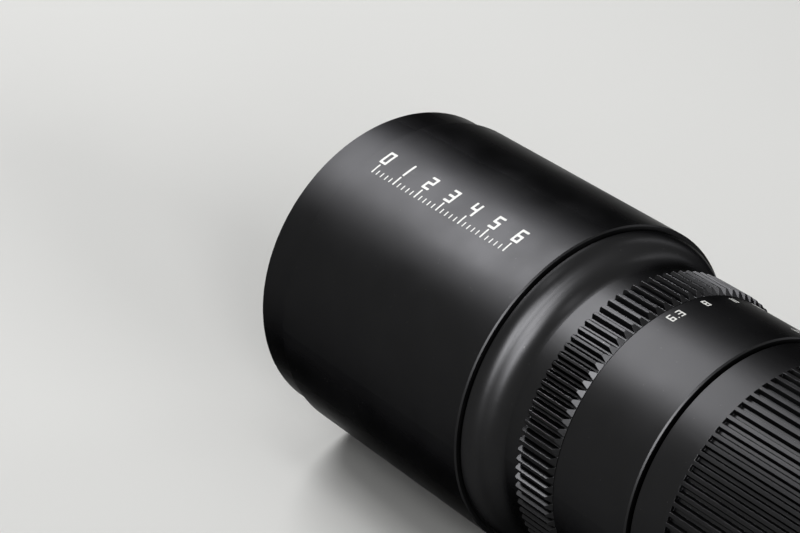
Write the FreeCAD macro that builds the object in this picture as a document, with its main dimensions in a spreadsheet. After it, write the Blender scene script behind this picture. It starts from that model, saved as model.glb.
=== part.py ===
import FreeCAD, Part
import math
import os
import Sketcher
from types import SimpleNamespace

Vector = FreeCAD.Vector

# A manual telephoto lens, in millimetres.
# The optical axis lies along Y with the front glass towards -Y, and Z is up.
# The origin is the centre of the camera flange.
# Outlines are drawn as (distance from the axis, distance behind the front rim).

document = FreeCAD.newDocument("telephoto_lens")
sheet = document.addObject("Spreadsheet::Sheet", "sizes")

driving_sizes = {
    # lengths of what shows outside, from the front rim to the camera thread
    "front_ring_length": 12.0,
    "sleeve_length": 81.9,
    "sleeve_gap": 0.4,
    "neck_length": 7.0,
    "aperture_ring_length": 14.2,
    "band_length": 28.2,
    "focus_gap": 0.8,
    "focus_bare_length": 11.8,
    "grip_length": 46.8,
    "focus_skirt_length": 8.5,
    "barrel_band_length": 14.7,
    "collar_seat_length": 28.0,
    "tail_band_length": 9.0,
    "cone_length": 51.0,
    "tail_sleeve_length": 16.0,
    "mount_flange_length": 8.0,
    "mount_thread_length": 5.0,
    # radii that the rest is stepped from: hood sleeve, neck core, camera thread and rear glass
    "sleeve_radius": 51.0,
    "core_radius": 41.6,
    "mount_thread_radius": 21.0,
    "rear_element_radius": 20.0,
    # clearances
    "slip": 0.05,
    "running": 0.1,
    "seam_gap": 0.2,
    "turning_gap": 0.3,
    "edge": 0.4,
    "cutter_overshoot": 1.0,
    # front ring, hood and objective barrel
    "hood_clearance": 0.2,
    "filter_rim_wall": 2.9,
    "filter_thread_depth": 7.0,
    "trim_bevel": 2.0,
    "trim_step": 3.0,
    "front_flange_length": 6.0,
    "skirt_length": 10.0,
    "sleeve_wall": 0.9,
    "sleeve_lip_length": 3.0,
    "sleeve_lip_height": 1.0,
    "felt_inset": 2.5,
    "felt_length": 6.0,
    "felt_thickness": 0.8,
    "spigot_step": 0.8,
    "spigot_wall": 1.1,
    "cell_seat_step": 1.1,
    # front lens cell and its glass
    "cell_length": 19.0,
    "cell_lip_length": 3.0,
    "cell_wall": 4.0,
    "element_seat_width": 1.5,
    "seat_relief": 0.1,
    "first_front_curve": 190.0,
    "first_rear_curve": 175.0,
    "first_edge": 2.9,
    "second_front_curve": 175.0,
    "second_rear_curve": 420.0,
    "second_edge": 6.4,
    "element_spacer_length": 1.2,
    "cell_ring_length": 3.0,
    "spanner_slot_width": 2.0,
    "spanner_slot_depth": 1.0,
    "baffle_distance": 28.0,
    "baffle_step": 8.0,
    "baffle_thickness": 1.0,
    "baffle_rim_length": 6.0,
    "baffle_rim_wall": 1.2,
    # shoulder housing
    "shoulder_lip": 0.6,
    "neck_step": 1.0,
    "shoulder_round": 5.0,
    "shoulder_lean": 4.5,
    "housing_spigot_length": 8.0,
    "housing_wall": 1.95,
    "core_wall": 1.6,
    "core_overlap": 7.1,
    "iris_inset": 0.9,
    "iris_ledge": 1.6,
    # aperture ring ribs
    "rib_height": 1.5,
    "aperture_rib_count": 96,
    "aperture_valley_width": 0.5,
    "aperture_rib_top": 0.7,
    # iris
    "blade_count": 10,
    "aperture_travel_degrees": 72.5,
    "iris_plate_thickness": 1.2,
    "iris_wall": 0.8,
    "iris_wall_slack": 0.1,
    "iris_opening_step": 0.6,
    "blade_wall_gap": 1.1,
    "blade_width": 9.8,
    "blade_pivot_inset": 1.5,
    "blade_thickness": 0.15,
    "blade_climb_height": 18.0,
    "blade_overrun_degrees": 3.5,
    "blade_gap": 0.35,
    "blade_pin_radius": 0.5,
    "blade_pin_slack": 0.1,
    "blade_pin_wander": 0.6,
    "blade_pin_lift": 0.1,
    "blade_steps": 18,
    "drive_ring_thickness": 2.0,
    "drive_ring_step": 2.4,
    "iris_retainer_length": 2.0,
    "iris_retainer_width": 6.35,
    "retainer_step": 0.4,
    "link_dog_radius": 1.2,
    "link_body_radius": 1.4,
    "link_slot_slack": 0.3,
    "link_slot_margin_degrees": 3.0,
    "link_depth": 2.4,
    "link_recess": 0.3,
    # number band and helicoid
    "band_wall": 2.1,
    "band_web_length": 3.0,
    "band_web_step": 0.4,
    "band_rear_wall": 2.7,
    "carriage_flange_length": 3.0,
    "carriage_flange_height": 2.75,
    "carriage_wall": 2.0,
    "carriage_length": 68.0,
    "guide_wall": 1.7,
    "guide_inset": 1.5,
    "guide_flange_length": 3.0,
    "focus_travel": 26.0,
    "key_width": 5.0,
    "key_length": 10.0,
    "key_inset": 3.5,
    "key_seat_depth": 0.8,
    # focus ring
    "focus_rib_count": 90,
    "focus_groove_depth": 1.2,
    "focus_groove_floor": 0.8,
    "focus_rib_top": 1.05,
    "focus_wall": 2.1,
    "focus_flange_length": 14.0,
    "focus_flange_height": 1.2,
    "neck_tube_wall": 0.9,
    "neck_tube_lead": 5.7,
    "neck_tube_step": 0.2,
    "nut_inset": 0.6,
    "nut_flange_length": 2.4,
    "nut_flange_lip": 0.9,
    "nut_length": 39.0,
    "focus_retainer_length": 4.2,
    # main barrel and tail
    "barrel_band_step": 0.7,
    "collar_seat_step": 0.1,
    "collar_seat_wall": 1.6,
    "collar_shoulder_height": 3.5,
    "guide_seat_inset": 5.7,
    "tail_spigot_length": 10.0,
    "tail_spigot_wall": 1.55,
    "bulkhead_length": 4.0,
    "tail_step": 2.5,
    "tail_wall": 2.3,
    "tail_lip_length": 4.0,
    "mount_thread_wall": 2.0,
    "mount_spigot_step": 3.4,
    "mount_face_width": 8.0,
    # rear cell and its glass
    "rear_cell_front_length": 17.0,
    "rear_cell_flange_length": 3.0,
    "rear_cell_rear_length": 12.0,
    "rear_cell_wall": 3.0,
    "rear_cell_flange_height": 2.9,
    "rear_seat_width": 1.2,
    "rear_cell_lip_length": 2.0,
    "third_front_curve": 95.0,
    "third_rear_curve": 120.0,
    "third_edge": 5.0,
    "fourth_front_curve": 70.0,
    "fourth_rear_curve": 180.0,
    "fourth_edge": 3.0,
    "rear_spacer_length": 4.6,
    "rear_ring_length": 2.8,
    # tripod collar, foot and lock
    "collar_wall": 3.9,
    "collar_shoulder_length": 1.95,
    "collar_shoulder_slope": 0.8,
    "foot_pad_width": 24.0,
    "foot_pad_length": 22.0,
    "foot_pad_drop": 2.0,
    "foot_pad_sink": 2.6,
    "foot_height": 5.5,
    "foot_width": 26.0,
    "foot_length": 56.0,
    "foot_corner": 6.0,
    "foot_edge": 1.0,
    "socket_radius": 3.175,
    "socket_depth": 8.6,
    "foot_screw_offset": 8.0,
    "foot_screw_radius": 1.5,
    "foot_screw_length": 4.8,
    "foot_screw_head_radius": 2.75,
    "foot_screw_head_length": 3.0,
    "foot_screw_recess": 0.3,
    "foot_screw_key_radius": 1.3,
    "foot_screw_key_depth": 1.6,
    "lock_boss_radius": 7.5,
    "lock_boss_root": 1.6,
    "lock_boss_height": 5.0,
    "lock_stud_radius": 3.0,
    "lock_pad_gap": 0.2,
    "lock_pad_thickness": 2.0,
    "lock_knob_gap": 0.6,
    "lock_knob_radius": 9.5,
    "lock_knob_length": 12.0,
    "lock_knob_waist": 6.5,
    "lock_knob_waist_length": 2.5,
    "lock_flute_count": 18,
    "lock_flute_radius": 0.9,
    "lock_flute_depth": 0.6,
}

for row, (alias, number) in enumerate(driving_sizes.items(), start=1):
    sheet.set(f"A{row}", alias)
    sheet.set(f"B{row}", str(number))
    sheet.setAlias(f"B{row}", alias)
document.recompute()


class Size:
    # A size kept as an expression of the sheet, so that what is worked out from it stays bound to it.
    def __init__(self, text):
        self.text = str(text)

    def __add__(self, other):
        return Size(f"({self} + {other})")

    def __radd__(self, other):
        return Size(f"({other} + {self})")

    def __sub__(self, other):
        return Size(f"({self} - {other})")

    def __rsub__(self, other):
        return Size(f"({other} - {self})")

    def __mul__(self, other):
        return Size(f"({self} * {other})")

    def __rmul__(self, other):
        return Size(f"({other} * {self})")

    def __truediv__(self, other):
        return Size(f"({self} / {other})")

    def __str__(self):
        return self.text

    def number(self):
        return float(sheet.evalExpression(self.text))


def root(size):
    return Size(f"sqrt({size})")


def sine(degrees):
    return Size(f"sin({degrees} * 1 deg)")


# How far a spherical surface of this curve falls back between the axis and a height.
def sag(curve, height):
    return curve - root(curve * curve - height * height)


size = SimpleNamespace(**{alias: Size(f"sizes.{alias}") for alias in driving_sizes})

# Radii of the front end, stepped inwards from the hood sleeve.
sleeve_bore = size.sleeve_radius - size.sleeve_wall
front_radius = sleeve_bore - size.hood_clearance
filter_thread_radius = front_radius - size.filter_rim_wall
trim_radius = filter_thread_radius - size.trim_step
barrel_radius = sleeve_bore - size.sleeve_lip_height - size.running
barrel_spigot_radius = barrel_radius - size.spigot_step
cell_bore_radius = barrel_spigot_radius - size.spigot_wall
barrel_bore_radius = cell_bore_radius - size.cell_seat_step
element_radius = cell_bore_radius - 2 * size.slip - size.cell_wall
element_seat_radius = element_radius - size.element_seat_width
baffle_radius = barrel_bore_radius - size.baffle_step
shoulder_radius = barrel_radius + size.shoulder_lip

# Radii of the neck, the iris and the helicoid, stepped from the core under the aperture ring.
neck_radius = size.core_radius + size.neck_step
band_radius = size.core_radius + size.band_wall
rib_radius = band_radius + size.rib_height
core_bore_radius = size.core_radius - size.core_wall
iris_outer = core_bore_radius - size.running
blade_outer_radius = iris_outer - size.iris_wall - size.blade_wall_gap
blade_inner_radius = blade_outer_radius - size.blade_width
blade_pivot_radius = blade_outer_radius - size.blade_pivot_inset
iris_opening_radius = blade_inner_radius - size.iris_opening_step
drive_ring_inner_radius = iris_opening_radius + size.drive_ring_step
band_web_radius = core_bore_radius - size.band_web_step
band_rear_bore_radius = band_radius - size.band_rear_wall
carriage_radius = band_rear_bore_radius - size.slip - size.carriage_flange_height
guide_radius = carriage_radius - size.carriage_wall - size.running
key_floor = guide_radius - size.key_seat_depth
key_height = carriage_radius - size.seam_gap - key_floor

# Radii of the focus ring and the barrel, stepped from the helicoid.
neck_tube_bore_radius = carriage_radius + size.turning_gap
neck_tube_radius = neck_tube_bore_radius + size.neck_tube_wall
focus_pocket_radius = neck_tube_radius + size.focus_flange_height
focus_radius = focus_pocket_radius + size.focus_wall
barrel_band_radius = focus_radius - size.barrel_band_step
collar_seat_radius = neck_tube_radius + size.collar_seat_step
barrel_rear_bore_radius = collar_seat_radius - size.collar_seat_wall
collar_shoulder_radius = collar_seat_radius + size.collar_shoulder_height

# Radii of the tail, stepped outwards from the camera thread and the rear glass.
mount_bore_radius = size.mount_thread_radius - size.mount_thread_wall
mount_spigot_radius = size.mount_thread_radius + size.mount_spigot_step
mount_flange_radius = size.mount_thread_radius + size.mount_face_width
tail_radius = mount_flange_radius + size.tail_step
rear_seat_radius = size.rear_element_radius - size.rear_seat_width
bulkhead_bore_radius = size.rear_element_radius + 2 * size.slip + size.rear_cell_wall
rear_cell_flange_radius = bulkhead_bore_radius + size.rear_cell_flange_height

# Stations behind the front rim, front to rear.
rim = Size(0)
sleeve_front = size.front_ring_length
sleeve_rear = sleeve_front + size.sleeve_length
shoulder_front = sleeve_rear + size.sleeve_gap
shoulder_drop = shoulder_radius - neck_radius
# The shoulder's two rounds add up to its drop and a lean, so that neither turns past square.
shoulder_arcs = shoulder_drop + size.shoulder_lean
shoulder_run = root(shoulder_arcs * shoulder_arcs
                    - (shoulder_arcs - shoulder_drop) * (shoulder_arcs - shoulder_drop))
neck_front = shoulder_front + size.edge + shoulder_run
neck_rear = neck_front + size.neck_length
aperture_front = neck_rear + size.seam_gap
aperture_rear = aperture_front + size.aperture_ring_length
band_front = aperture_rear + size.seam_gap
band_rear = band_front + size.band_length
focus_front = band_rear + size.focus_gap
grip_front = focus_front + size.focus_bare_length
grip_rear = grip_front + size.grip_length
focus_rear = grip_rear + size.focus_skirt_length
barrel_front = focus_rear + size.turning_gap
seat_front = barrel_front + size.barrel_band_length
seat_rear = seat_front + size.collar_seat_length
cone_front = seat_rear + size.tail_band_length
cone_rear = cone_front + size.cone_length
tail_rear = cone_rear + size.tail_sleeve_length
flange = tail_rear + size.mount_flange_length
thread_rear = flange + size.mount_thread_length

seat_middle = (seat_front + seat_rear) / 2


def origin_plane(body, role):
    return next(feature for feature in body.Origin.OriginFeatures if feature.Role == role)


def new_body(label):
    body = document.addObject("PartDesign::Body", label)
    body.Label = label
    return body


# A sketch on one of a body's own planes, moved along the plane's axes by bound offsets.
def new_sketch(body, name, role="XY_Plane", offset=(None, None, None), turn=None, turn_axis=None):
    sketch = body.newObject("Sketcher::SketchObject", name)
    sketch.AttachmentSupport = [(origin_plane(body, role), "")]
    sketch.MapMode = "FlatFace"
    if turn is not None:
        sketch.AttachmentOffset = FreeCAD.Placement(Vector(), FreeCAD.Rotation(turn_axis, turn.number()))
        sketch.setExpression("AttachmentOffset.Rotation.Angle", str(turn))
    for letter, distance in zip("xyz", offset):
        if distance is not None:
            sketch.setExpression(f"AttachmentOffset.Base.{letter}", str(distance))
    return sketch


class Arc:
    # Stands between two corners of an outline: +1 turns with the outline drawn anticlockwise.
    def __init__(self, radius, side):
        self.radius = radius
        self.side = side


def arc_between(start, end, radius, side):
    middle = (start + end) * 0.5
    chord = end - start
    height = math.sqrt(max(radius * radius - chord.Length ** 2 / 4, 0.0))
    left = Vector(-chord.y, chord.x, 0).normalize()
    centre = middle + left * height * side
    first, last = (start, end) if side > 0 else (end, start)
    first_angle = math.atan2(first.y - centre.y, first.x - centre.x)
    last_angle = math.atan2(last.y - centre.y, last.x - centre.x)
    if last_angle < first_angle:
        last_angle += 2 * math.pi
    return Part.ArcOfCircle(Part.Circle(centre, Vector(0, 0, 1), radius), first_angle, last_angle)


# Bind one corner to the sketch's origin along one axis.
def corner_constraint(direction, axis, geometry, point, distance):
    number = distance.number()
    if abs(number) < 1e-9:
        return Sketcher.Constraint("PointOnObject", geometry, point, axis), None
    if number > 0:
        return Sketcher.Constraint(direction, -1, 1, geometry, point, number), str(distance)
    return Sketcher.Constraint(direction, geometry, point, -1, 1, -number), str(0 - distance)


# Draw a closed outline of corners, with straight or arc sides, every corner bound to the sheet.
def draw_outline(sketch, outline):
    corners = [item for item in outline if not isinstance(item, Arc)]
    corners = [(Size(across), Size(along)) for across, along in corners]
    bends = {}
    place = -1
    for item in outline:
        if isinstance(item, Arc):
            bends[place] = item
        else:
            place += 1
    points = [Vector(across.number(), along.number(), 0) for across, along in corners]
    count = len(points)
    geometry = []
    ends = []
    for index, start in enumerate(points):
        end = points[(index + 1) % count]
        bend = bends.get(index)
        if bend is None:
            geometry.append(Part.LineSegment(start, end))
            ends.append((1, 2))
        else:
            geometry.append(arc_between(start, end, bend.radius.number(), bend.side))
            ends.append((1, 2) if bend.side > 0 else (2, 1))
    sketch.addGeometry(geometry, False)
    constraints = []
    bindings = []
    for index in range(count):
        following = (index + 1) % count
        constraints.append(Sketcher.Constraint("Coincident", index, ends[index][1],
                                               following, ends[following][0]))
        bindings.append(None)
    for index, (across, along) in enumerate(corners):
        for direction, axis, distance in (("DistanceX", -2, across), ("DistanceY", -1, along)):
            constraint, binding = corner_constraint(direction, axis, index, ends[index][0], distance)
            constraints.append(constraint)
            bindings.append(binding)
    for index, bend in bends.items():
        constraints.append(Sketcher.Constraint("Radius", index, bend.radius.number()))
        bindings.append(str(bend.radius))
    sketch.addConstraint(constraints)
    for index, binding in enumerate(bindings):
        if binding is not None:
            sketch.setExpression(f"Constraints[{index}]", binding)


def draw_circle(sketch, radius, across=Size(0), along=Size(0)):
    place = Vector(across.number(), along.number(), 0)
    sketch.addGeometry(Part.Circle(place, Vector(0, 0, 1), radius.number()), False)
    bindings = [(Sketcher.Constraint("Radius", 0, radius.number()), str(radius)),
                corner_constraint("DistanceX", -2, 0, 3, across),
                corner_constraint("DistanceY", -1, 0, 3, along)]
    for constraint, binding in bindings:
        index = sketch.addConstraint(constraint)
        if binding is not None:
            sketch.setExpression(f"Constraints[{index}]", binding)


# A piece turned about the optical axis from an outline in stations behind the rim.
def turned(label, outline):
    body = new_body(label)
    sketch = new_sketch(body, f"{label}_outline", offset=(None, 0 - flange, None))
    return revolve(body, sketch, outline)


# A piece turned about its own Y axis, such as a screw, which is placed later.
def turned_alone(label, outline):
    body = new_body(label)
    sketch = new_sketch(body, f"{label}_outline")
    return revolve(body, sketch, outline)


def revolve(body, sketch, outline):
    draw_outline(sketch, outline)
    turning = body.newObject("PartDesign::Revolution", f"{body.Label}_turning")
    turning.Profile = sketch
    turning.ReferenceAxis = (sketch, ["V_Axis"])
    turning.Angle = 360
    document.recompute()
    return body


# A plain ring or disc between two radii and two stations.
def ring(label, inner, outer, front, rear):
    return turned(label, [(inner, front), (outer, front), (outer, rear), (inner, rear)])


# Cut a sketch's outline into the body and make sure that it took something away.
def cut(body, sketch, depth=None, reversed_cut=False):
    before = body.Shape.Volume
    pocket = body.newObject("PartDesign::Pocket", f"{sketch.Label}_cut")
    pocket.Profile = sketch
    pocket.Reversed = reversed_cut
    if depth is None:
        pocket.Type = "ThroughAll"
    else:
        pocket.Type = "Length"
        pocket.setExpression("Length", str(depth))
    document.recompute()
    if body.Shape.Volume >= before:
        raise ValueError(f"{sketch.Label} cuts nothing")
    return pocket


def add(body, sketch, height, reversed_pad=False):
    pad = body.newObject("PartDesign::Pad", f"{sketch.Label}_pad")
    pad.Profile = sketch
    pad.Reversed = reversed_pad
    pad.setExpression("Length", str(height))
    document.recompute()
    return pad


def repeat_round_axis(body, feature, count):
    pattern = body.newObject("PartDesign::PolarPattern", f"{feature.Label}_pattern")
    pattern.Originals = [feature]
    pattern.Axis = (origin_plane(body, "Y_Axis"), [""])
    pattern.Angle = 360
    pattern.setExpression("Occurrences", str(count))
    body.Tip = pattern
    document.recompute()
    return pattern


# A sketch across the axis at a station: its x is X, its y is Z, and it faces the front.
def cross_sketch(body, name, station, turn=None):
    turn_axis = Vector(0, 0, 1)
    return new_sketch(body, name, "XZ_Plane", (None, None, flange - station), turn, turn_axis)


def rectangle(left, right, bottom, top):
    return [(left, bottom), (right, bottom), (right, top), (left, top)]


def place(body, rotation, x=None, y=None, z=None):
    body.Placement = FreeCAD.Placement(Vector(), rotation)
    for letter, distance in (("x", x), ("y", y), ("z", z)):
        if distance is not None:
            body.setExpression(f"Placement.Base.{letter}", str(distance))


# Front ring: filter thread, trim bevel, and a skirt that screws over the barrel and guides the hood.
flange_rear = size.filter_thread_depth + size.front_flange_length
skirt_rear = sleeve_front + size.skirt_length
felt_front = sleeve_front + size.felt_inset
felt_rear = felt_front + size.felt_length
felt_floor = front_radius - size.felt_thickness
trim_front = size.filter_thread_depth + size.trim_bevel
turned("front_ring", [
    (filter_thread_radius, rim),
    (front_radius - size.edge, rim),
    (front_radius, rim + size.edge),
    (front_radius, felt_front),
    (felt_floor, felt_front),
    (felt_floor, felt_rear),
    (front_radius, felt_rear),
    (front_radius, skirt_rear),
    (barrel_spigot_radius + size.slip, skirt_rear),
    (barrel_spigot_radius + size.slip, flange_rear),
    (trim_radius, flange_rear),
    (trim_radius, trim_front),
    (filter_thread_radius, size.filter_thread_depth),
])

# Hood sleeve: slides forward on the felt band, and its rear lip stops behind the front ring.
ring("felt_band", felt_floor + size.slip, sleeve_bore - size.running, felt_front, felt_rear)
sleeve_lip_bore = barrel_radius + size.running
sleeve_lip_front = sleeve_rear - size.sleeve_lip_length
turned("hood_sleeve", [
    (sleeve_bore, sleeve_front),
    (size.sleeve_radius - size.edge, sleeve_front),
    (size.sleeve_radius, sleeve_front + size.edge),
    (size.sleeve_radius, sleeve_rear - size.edge),
    (size.sleeve_radius - size.edge, sleeve_rear),
    (sleeve_lip_bore, sleeve_rear),
    (sleeve_lip_bore, sleeve_lip_front),
    (sleeve_bore, sleeve_lip_front),
])

# Objective barrel: the tube under the hood, with the lens cell in its front end.
cell_rear = flange_rear + size.cell_length
turned("objective_barrel", [
    (cell_bore_radius, flange_rear),
    (barrel_spigot_radius, flange_rear),
    (barrel_spigot_radius, skirt_rear),
    (barrel_radius, skirt_rear),
    (barrel_radius, shoulder_front),
    (barrel_bore_radius, shoulder_front),
    (barrel_bore_radius, cell_rear),
    (cell_bore_radius, cell_rear),
])

# Front lens cell, with the glass stacked on its rear lip and held by a threaded ring.
second_rear_seat = cell_rear - size.cell_lip_length
second_front_seat = second_rear_seat - size.second_edge
first_rear_seat = second_front_seat - size.element_spacer_length
first_front_seat = first_rear_seat - size.first_edge
pocket_radius = element_radius + size.slip
stack_inner_radius = element_seat_radius + size.seat_relief
turned("lens_cell", [
    (pocket_radius, flange_rear),
    (cell_bore_radius - size.slip, flange_rear),
    (cell_bore_radius - size.slip, cell_rear),
    (stack_inner_radius, cell_rear),
    (stack_inner_radius, second_rear_seat),
    (pocket_radius, second_rear_seat),
])


# A lens with a flat ground seat round each face. A side is +1 where it bulges and -1 where it is hollow.
def element(label, radius, seat_radius, front_seat, rear_seat,
            front_curve, front_side, rear_curve, rear_side):
    front_vertex = front_seat - front_side * sag(front_curve, seat_radius)
    rear_vertex = rear_seat + rear_side * sag(rear_curve, seat_radius)
    return turned(label, [
        (Size(0), front_vertex),
        Arc(front_curve, front_side),
        (seat_radius, front_seat),
        (radius, front_seat),
        (radius, rear_seat),
        (seat_radius, rear_seat),
        Arc(rear_curve, rear_side),
        (Size(0), rear_vertex),
    ])


element("front_element", element_radius, element_seat_radius, first_front_seat, first_rear_seat,
        size.first_front_curve, 1, size.first_rear_curve, 1)
ring("element_spacer", stack_inner_radius, element_radius, first_rear_seat, second_front_seat)
element("second_element", element_radius, element_seat_radius, second_front_seat, second_rear_seat,
        size.second_front_curve, -1, size.second_rear_curve, 1)


# A threaded ring that holds glass from the front, with two slots across it for a spanner.
def retaining_ring(label, inner, outer, front, rear):
    body = ring(label, inner, outer, front, rear)
    slots = cross_sketch(body, f"{label}_slots", front)
    half = size.spanner_slot_width / 2
    draw_outline(slots, rectangle(0 - half, half, 0 - outer, outer))
    cut(body, slots, size.spanner_slot_depth)


retaining_ring("cell_retaining_ring", stack_inner_radius, element_radius,
               first_front_seat - size.cell_ring_length, first_front_seat)

# Light baffle: a thin disc with a rim that springs into the barrel.
baffle_front = cell_rear + size.baffle_distance
baffle_outer = barrel_bore_radius - size.slip
turned("front_baffle", [
    (baffle_radius, baffle_front),
    (baffle_outer, baffle_front),
    (baffle_outer, baffle_front + size.baffle_rim_length),
    (baffle_outer - size.baffle_rim_wall, baffle_front + size.baffle_rim_length),
    (baffle_outer - size.baffle_rim_wall, baffle_front + size.baffle_thickness),
    (baffle_radius, baffle_front + size.baffle_thickness),
])

# Iris stations. The blades rise like a spiral stair, so they start at the plate and end at the drive ring.
iris_seat = neck_rear + size.iris_inset
iris_plate_rear = iris_seat + size.iris_plate_thickness
blade_reach = 180 - size.aperture_travel_degrees / 2
blade_span = blade_reach + 2 * size.blade_overrun_degrees
blade_front = iris_plate_rear + size.blade_gap
blade_rear = blade_front + size.blade_climb_height * blade_span / 360 + size.blade_thickness
drive_front = blade_rear + size.blade_gap
drive_rear = drive_front + size.drive_ring_thickness
retainer_front = drive_rear + size.seam_gap
link_station = (drive_front + drive_rear) / 2

# Shoulder housing: lip, convex round and hollow throat down to the neck, then the core under the ring.
core_rear = band_front + size.core_overlap
housing_outer = barrel_bore_radius - size.slip
housing_inner = housing_outer - size.housing_wall
turn_share = size.shoulder_round / shoulder_arcs
ledge_radius = core_bore_radius - size.iris_ledge
retainer_bore = core_bore_radius + size.retainer_step
shoulder_housing = turned("shoulder_housing", [
    (housing_inner, shoulder_front - size.housing_spigot_length),
    (housing_outer, shoulder_front - size.housing_spigot_length),
    (housing_outer, shoulder_front),
    (shoulder_radius - size.edge, shoulder_front),
    (shoulder_radius, shoulder_front + size.edge),
    Arc(size.shoulder_round, 1),
    (shoulder_radius - shoulder_drop * turn_share,
     shoulder_front + size.edge + shoulder_run * turn_share),
    Arc(shoulder_arcs - size.shoulder_round, -1),
    (neck_radius, neck_front),
    (neck_radius, neck_rear),
    (size.core_radius, neck_rear),
    (size.core_radius, core_rear),
    (retainer_bore, core_rear),
    (retainer_bore, retainer_front),
    (core_bore_radius, retainer_front),
    (core_bore_radius, iris_seat),
    (ledge_radius, iris_seat),
    (ledge_radius, neck_front),
    (housing_inner, shoulder_front + size.edge),
])

# The slot through the core lets the link screw follow the aperture ring from open to closed.
link_slot_half = size.link_dog_radius + size.link_slot_slack
link_slot_outline = new_sketch(shoulder_housing, "link_slot", offset=(None, 0 - flange, None),
                               turn=90 + size.link_slot_margin_degrees, turn_axis=Vector(0, 1, 0))
draw_outline(link_slot_outline, rectangle(core_bore_radius - size.cutter_overshoot,
                                          size.core_radius + size.cutter_overshoot,
                                          link_station - link_slot_half, link_station + link_slot_half))
solid_core_volume = shoulder_housing.Shape.Volume
link_slot = shoulder_housing.newObject("PartDesign::Groove", "link_slot_groove")
link_slot.Profile = link_slot_outline
link_slot.ReferenceAxis = (link_slot_outline, ["V_Axis"])
link_slot.Reversed = True
link_slot.setExpression("Angle", str(size.aperture_travel_degrees + 2 * size.link_slot_margin_degrees))
document.recompute()
if shoulder_housing.Shape.Volume >= solid_core_volume:
    raise ValueError("link_slot cuts nothing")


# Ribs: one tapered groove cut along the axis and repeated, which leaves flat-topped ribs between.
def cut_ribs(body, count, crest_radius, floor_radius, floor_width, rib_top, front, length):
    groove = cross_sketch(body, f"{body.Label}_groove", front)
    crest_half = math.pi * crest_radius / count - rib_top / 2
    floor_half = floor_width / 2
    slope = (crest_half - floor_half) / (crest_radius - floor_radius)
    mouth = crest_radius + size.cutter_overshoot
    mouth_half = crest_half + slope * size.cutter_overshoot
    draw_outline(groove, [(0 - floor_half, floor_radius), (floor_half, floor_radius),
                          (mouth_half, mouth), (0 - mouth_half, mouth)])
    repeat_round_axis(body, cut(body, groove, length), count)


# Aperture ring: steep bevel down to the number band at the rear, ribs from end to end.
rear_bevel = rib_radius - band_radius
aperture_bore = size.core_radius + size.running
aperture_ring = turned("aperture_ring", [
    (aperture_bore, aperture_front),
    (rib_radius - size.edge, aperture_front),
    (rib_radius, aperture_front + size.edge),
    (rib_radius, aperture_rear - rear_bevel),
    (band_radius, aperture_rear),
    (aperture_bore, aperture_rear),
])
cut_ribs(aperture_ring, size.aperture_rib_count, rib_radius, band_radius,
         size.aperture_valley_width, size.aperture_rib_top, aperture_front, size.aperture_ring_length)
link_hole = new_sketch(aperture_ring, "link_hole", offset=(None, link_station - flange, None))
draw_circle(link_hole, size.link_body_radius + size.slip)
cut(aperture_ring, link_hole)

# Iris housing: pivot plate with the fixed opening, and the wall round the blades.
iris_wall_rear = blade_rear + size.iris_wall_slack
iris_housing = turned("iris_housing", [
    (iris_opening_radius, iris_seat),
    (iris_outer, iris_seat),
    (iris_outer, iris_wall_rear),
    (iris_outer - size.iris_wall, iris_wall_rear),
    (iris_outer - size.iris_wall, iris_plate_rear),
    (iris_opening_radius, iris_plate_rear),
])
pivot_hole = cross_sketch(iris_housing, "pivot_hole", iris_seat)
draw_circle(pivot_hole, size.blade_pin_radius + size.blade_pin_slack, across=blade_pivot_radius)
repeat_round_axis(iris_housing, cut(iris_housing, pivot_hole, size.iris_plate_thickness), size.blade_count)

# Drive ring: one radial slot for each blade's pin, and a hole in its edge for the link screw.
pin_chord = 2 * blade_pivot_radius * sine(blade_reach / 2)
pin_nearest = pin_chord - blade_pivot_radius
slot_reach = size.blade_pin_radius + size.seam_gap
slot_half = size.blade_pin_radius + size.blade_pin_wander
iris_drive_ring = ring("iris_drive_ring", drive_ring_inner_radius, iris_outer, drive_front, drive_rear)
pin_slot = cross_sketch(iris_drive_ring, "pin_slot", drive_front, turn=blade_reach)
draw_outline(pin_slot, rectangle(pin_nearest - slot_reach, blade_pivot_radius + slot_reach,
                                 0 - slot_half, slot_half))
pin_slot_cut = cut(iris_drive_ring, pin_slot, size.drive_ring_thickness)
repeat_round_axis(iris_drive_ring, pin_slot_cut, size.blade_count)
link_inner_end = iris_outer - size.link_depth
link_bore = new_sketch(iris_drive_ring, "link_bore",
                       offset=(None, link_station - flange, 0 - link_inner_end))
draw_circle(link_bore, size.link_dog_radius + size.slip)
cut(iris_drive_ring, link_bore)

iris_retainer_outer = retainer_bore - size.slip
retaining_ring("iris_retainer", iris_retainer_outer - size.iris_retainer_width, iris_retainer_outer,
               retainer_front, retainer_front + size.iris_retainer_length)

# Link screw: its dog reaches through the core's slot into the drive ring.
link_outer_end = band_radius - size.link_recess
link_dog_length = size.core_radius + size.running - link_inner_end
link_screw = turned_alone("link_screw", [
    (Size(0), Size(0)),
    (size.link_dog_radius, Size(0)),
    (size.link_dog_radius, link_dog_length),
    (size.link_body_radius, link_dog_length),
    (size.link_body_radius, link_outer_end - link_inner_end),
    (Size(0), link_outer_end - link_inner_end),
])
place(link_screw, FreeCAD.Rotation(Vector(1, 0, 0), -90), y=link_station - flange, z=0 - link_inner_end)


# One section of a blade: a thin upright rectangle at an angle from the pivot.
def blade_section(angle, station):
    outward = Vector(math.cos(angle), 0, math.sin(angle))
    rise = Vector(0, size.blade_thickness.number(), 0)
    inner = outward * blade_inner_radius.number() + Vector(0, station, 0)
    outer = outward * blade_outer_radius.number() + Vector(0, station, 0)
    return Part.makePolygon([inner, outer, outer + rise, inner + rise, inner])


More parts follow.
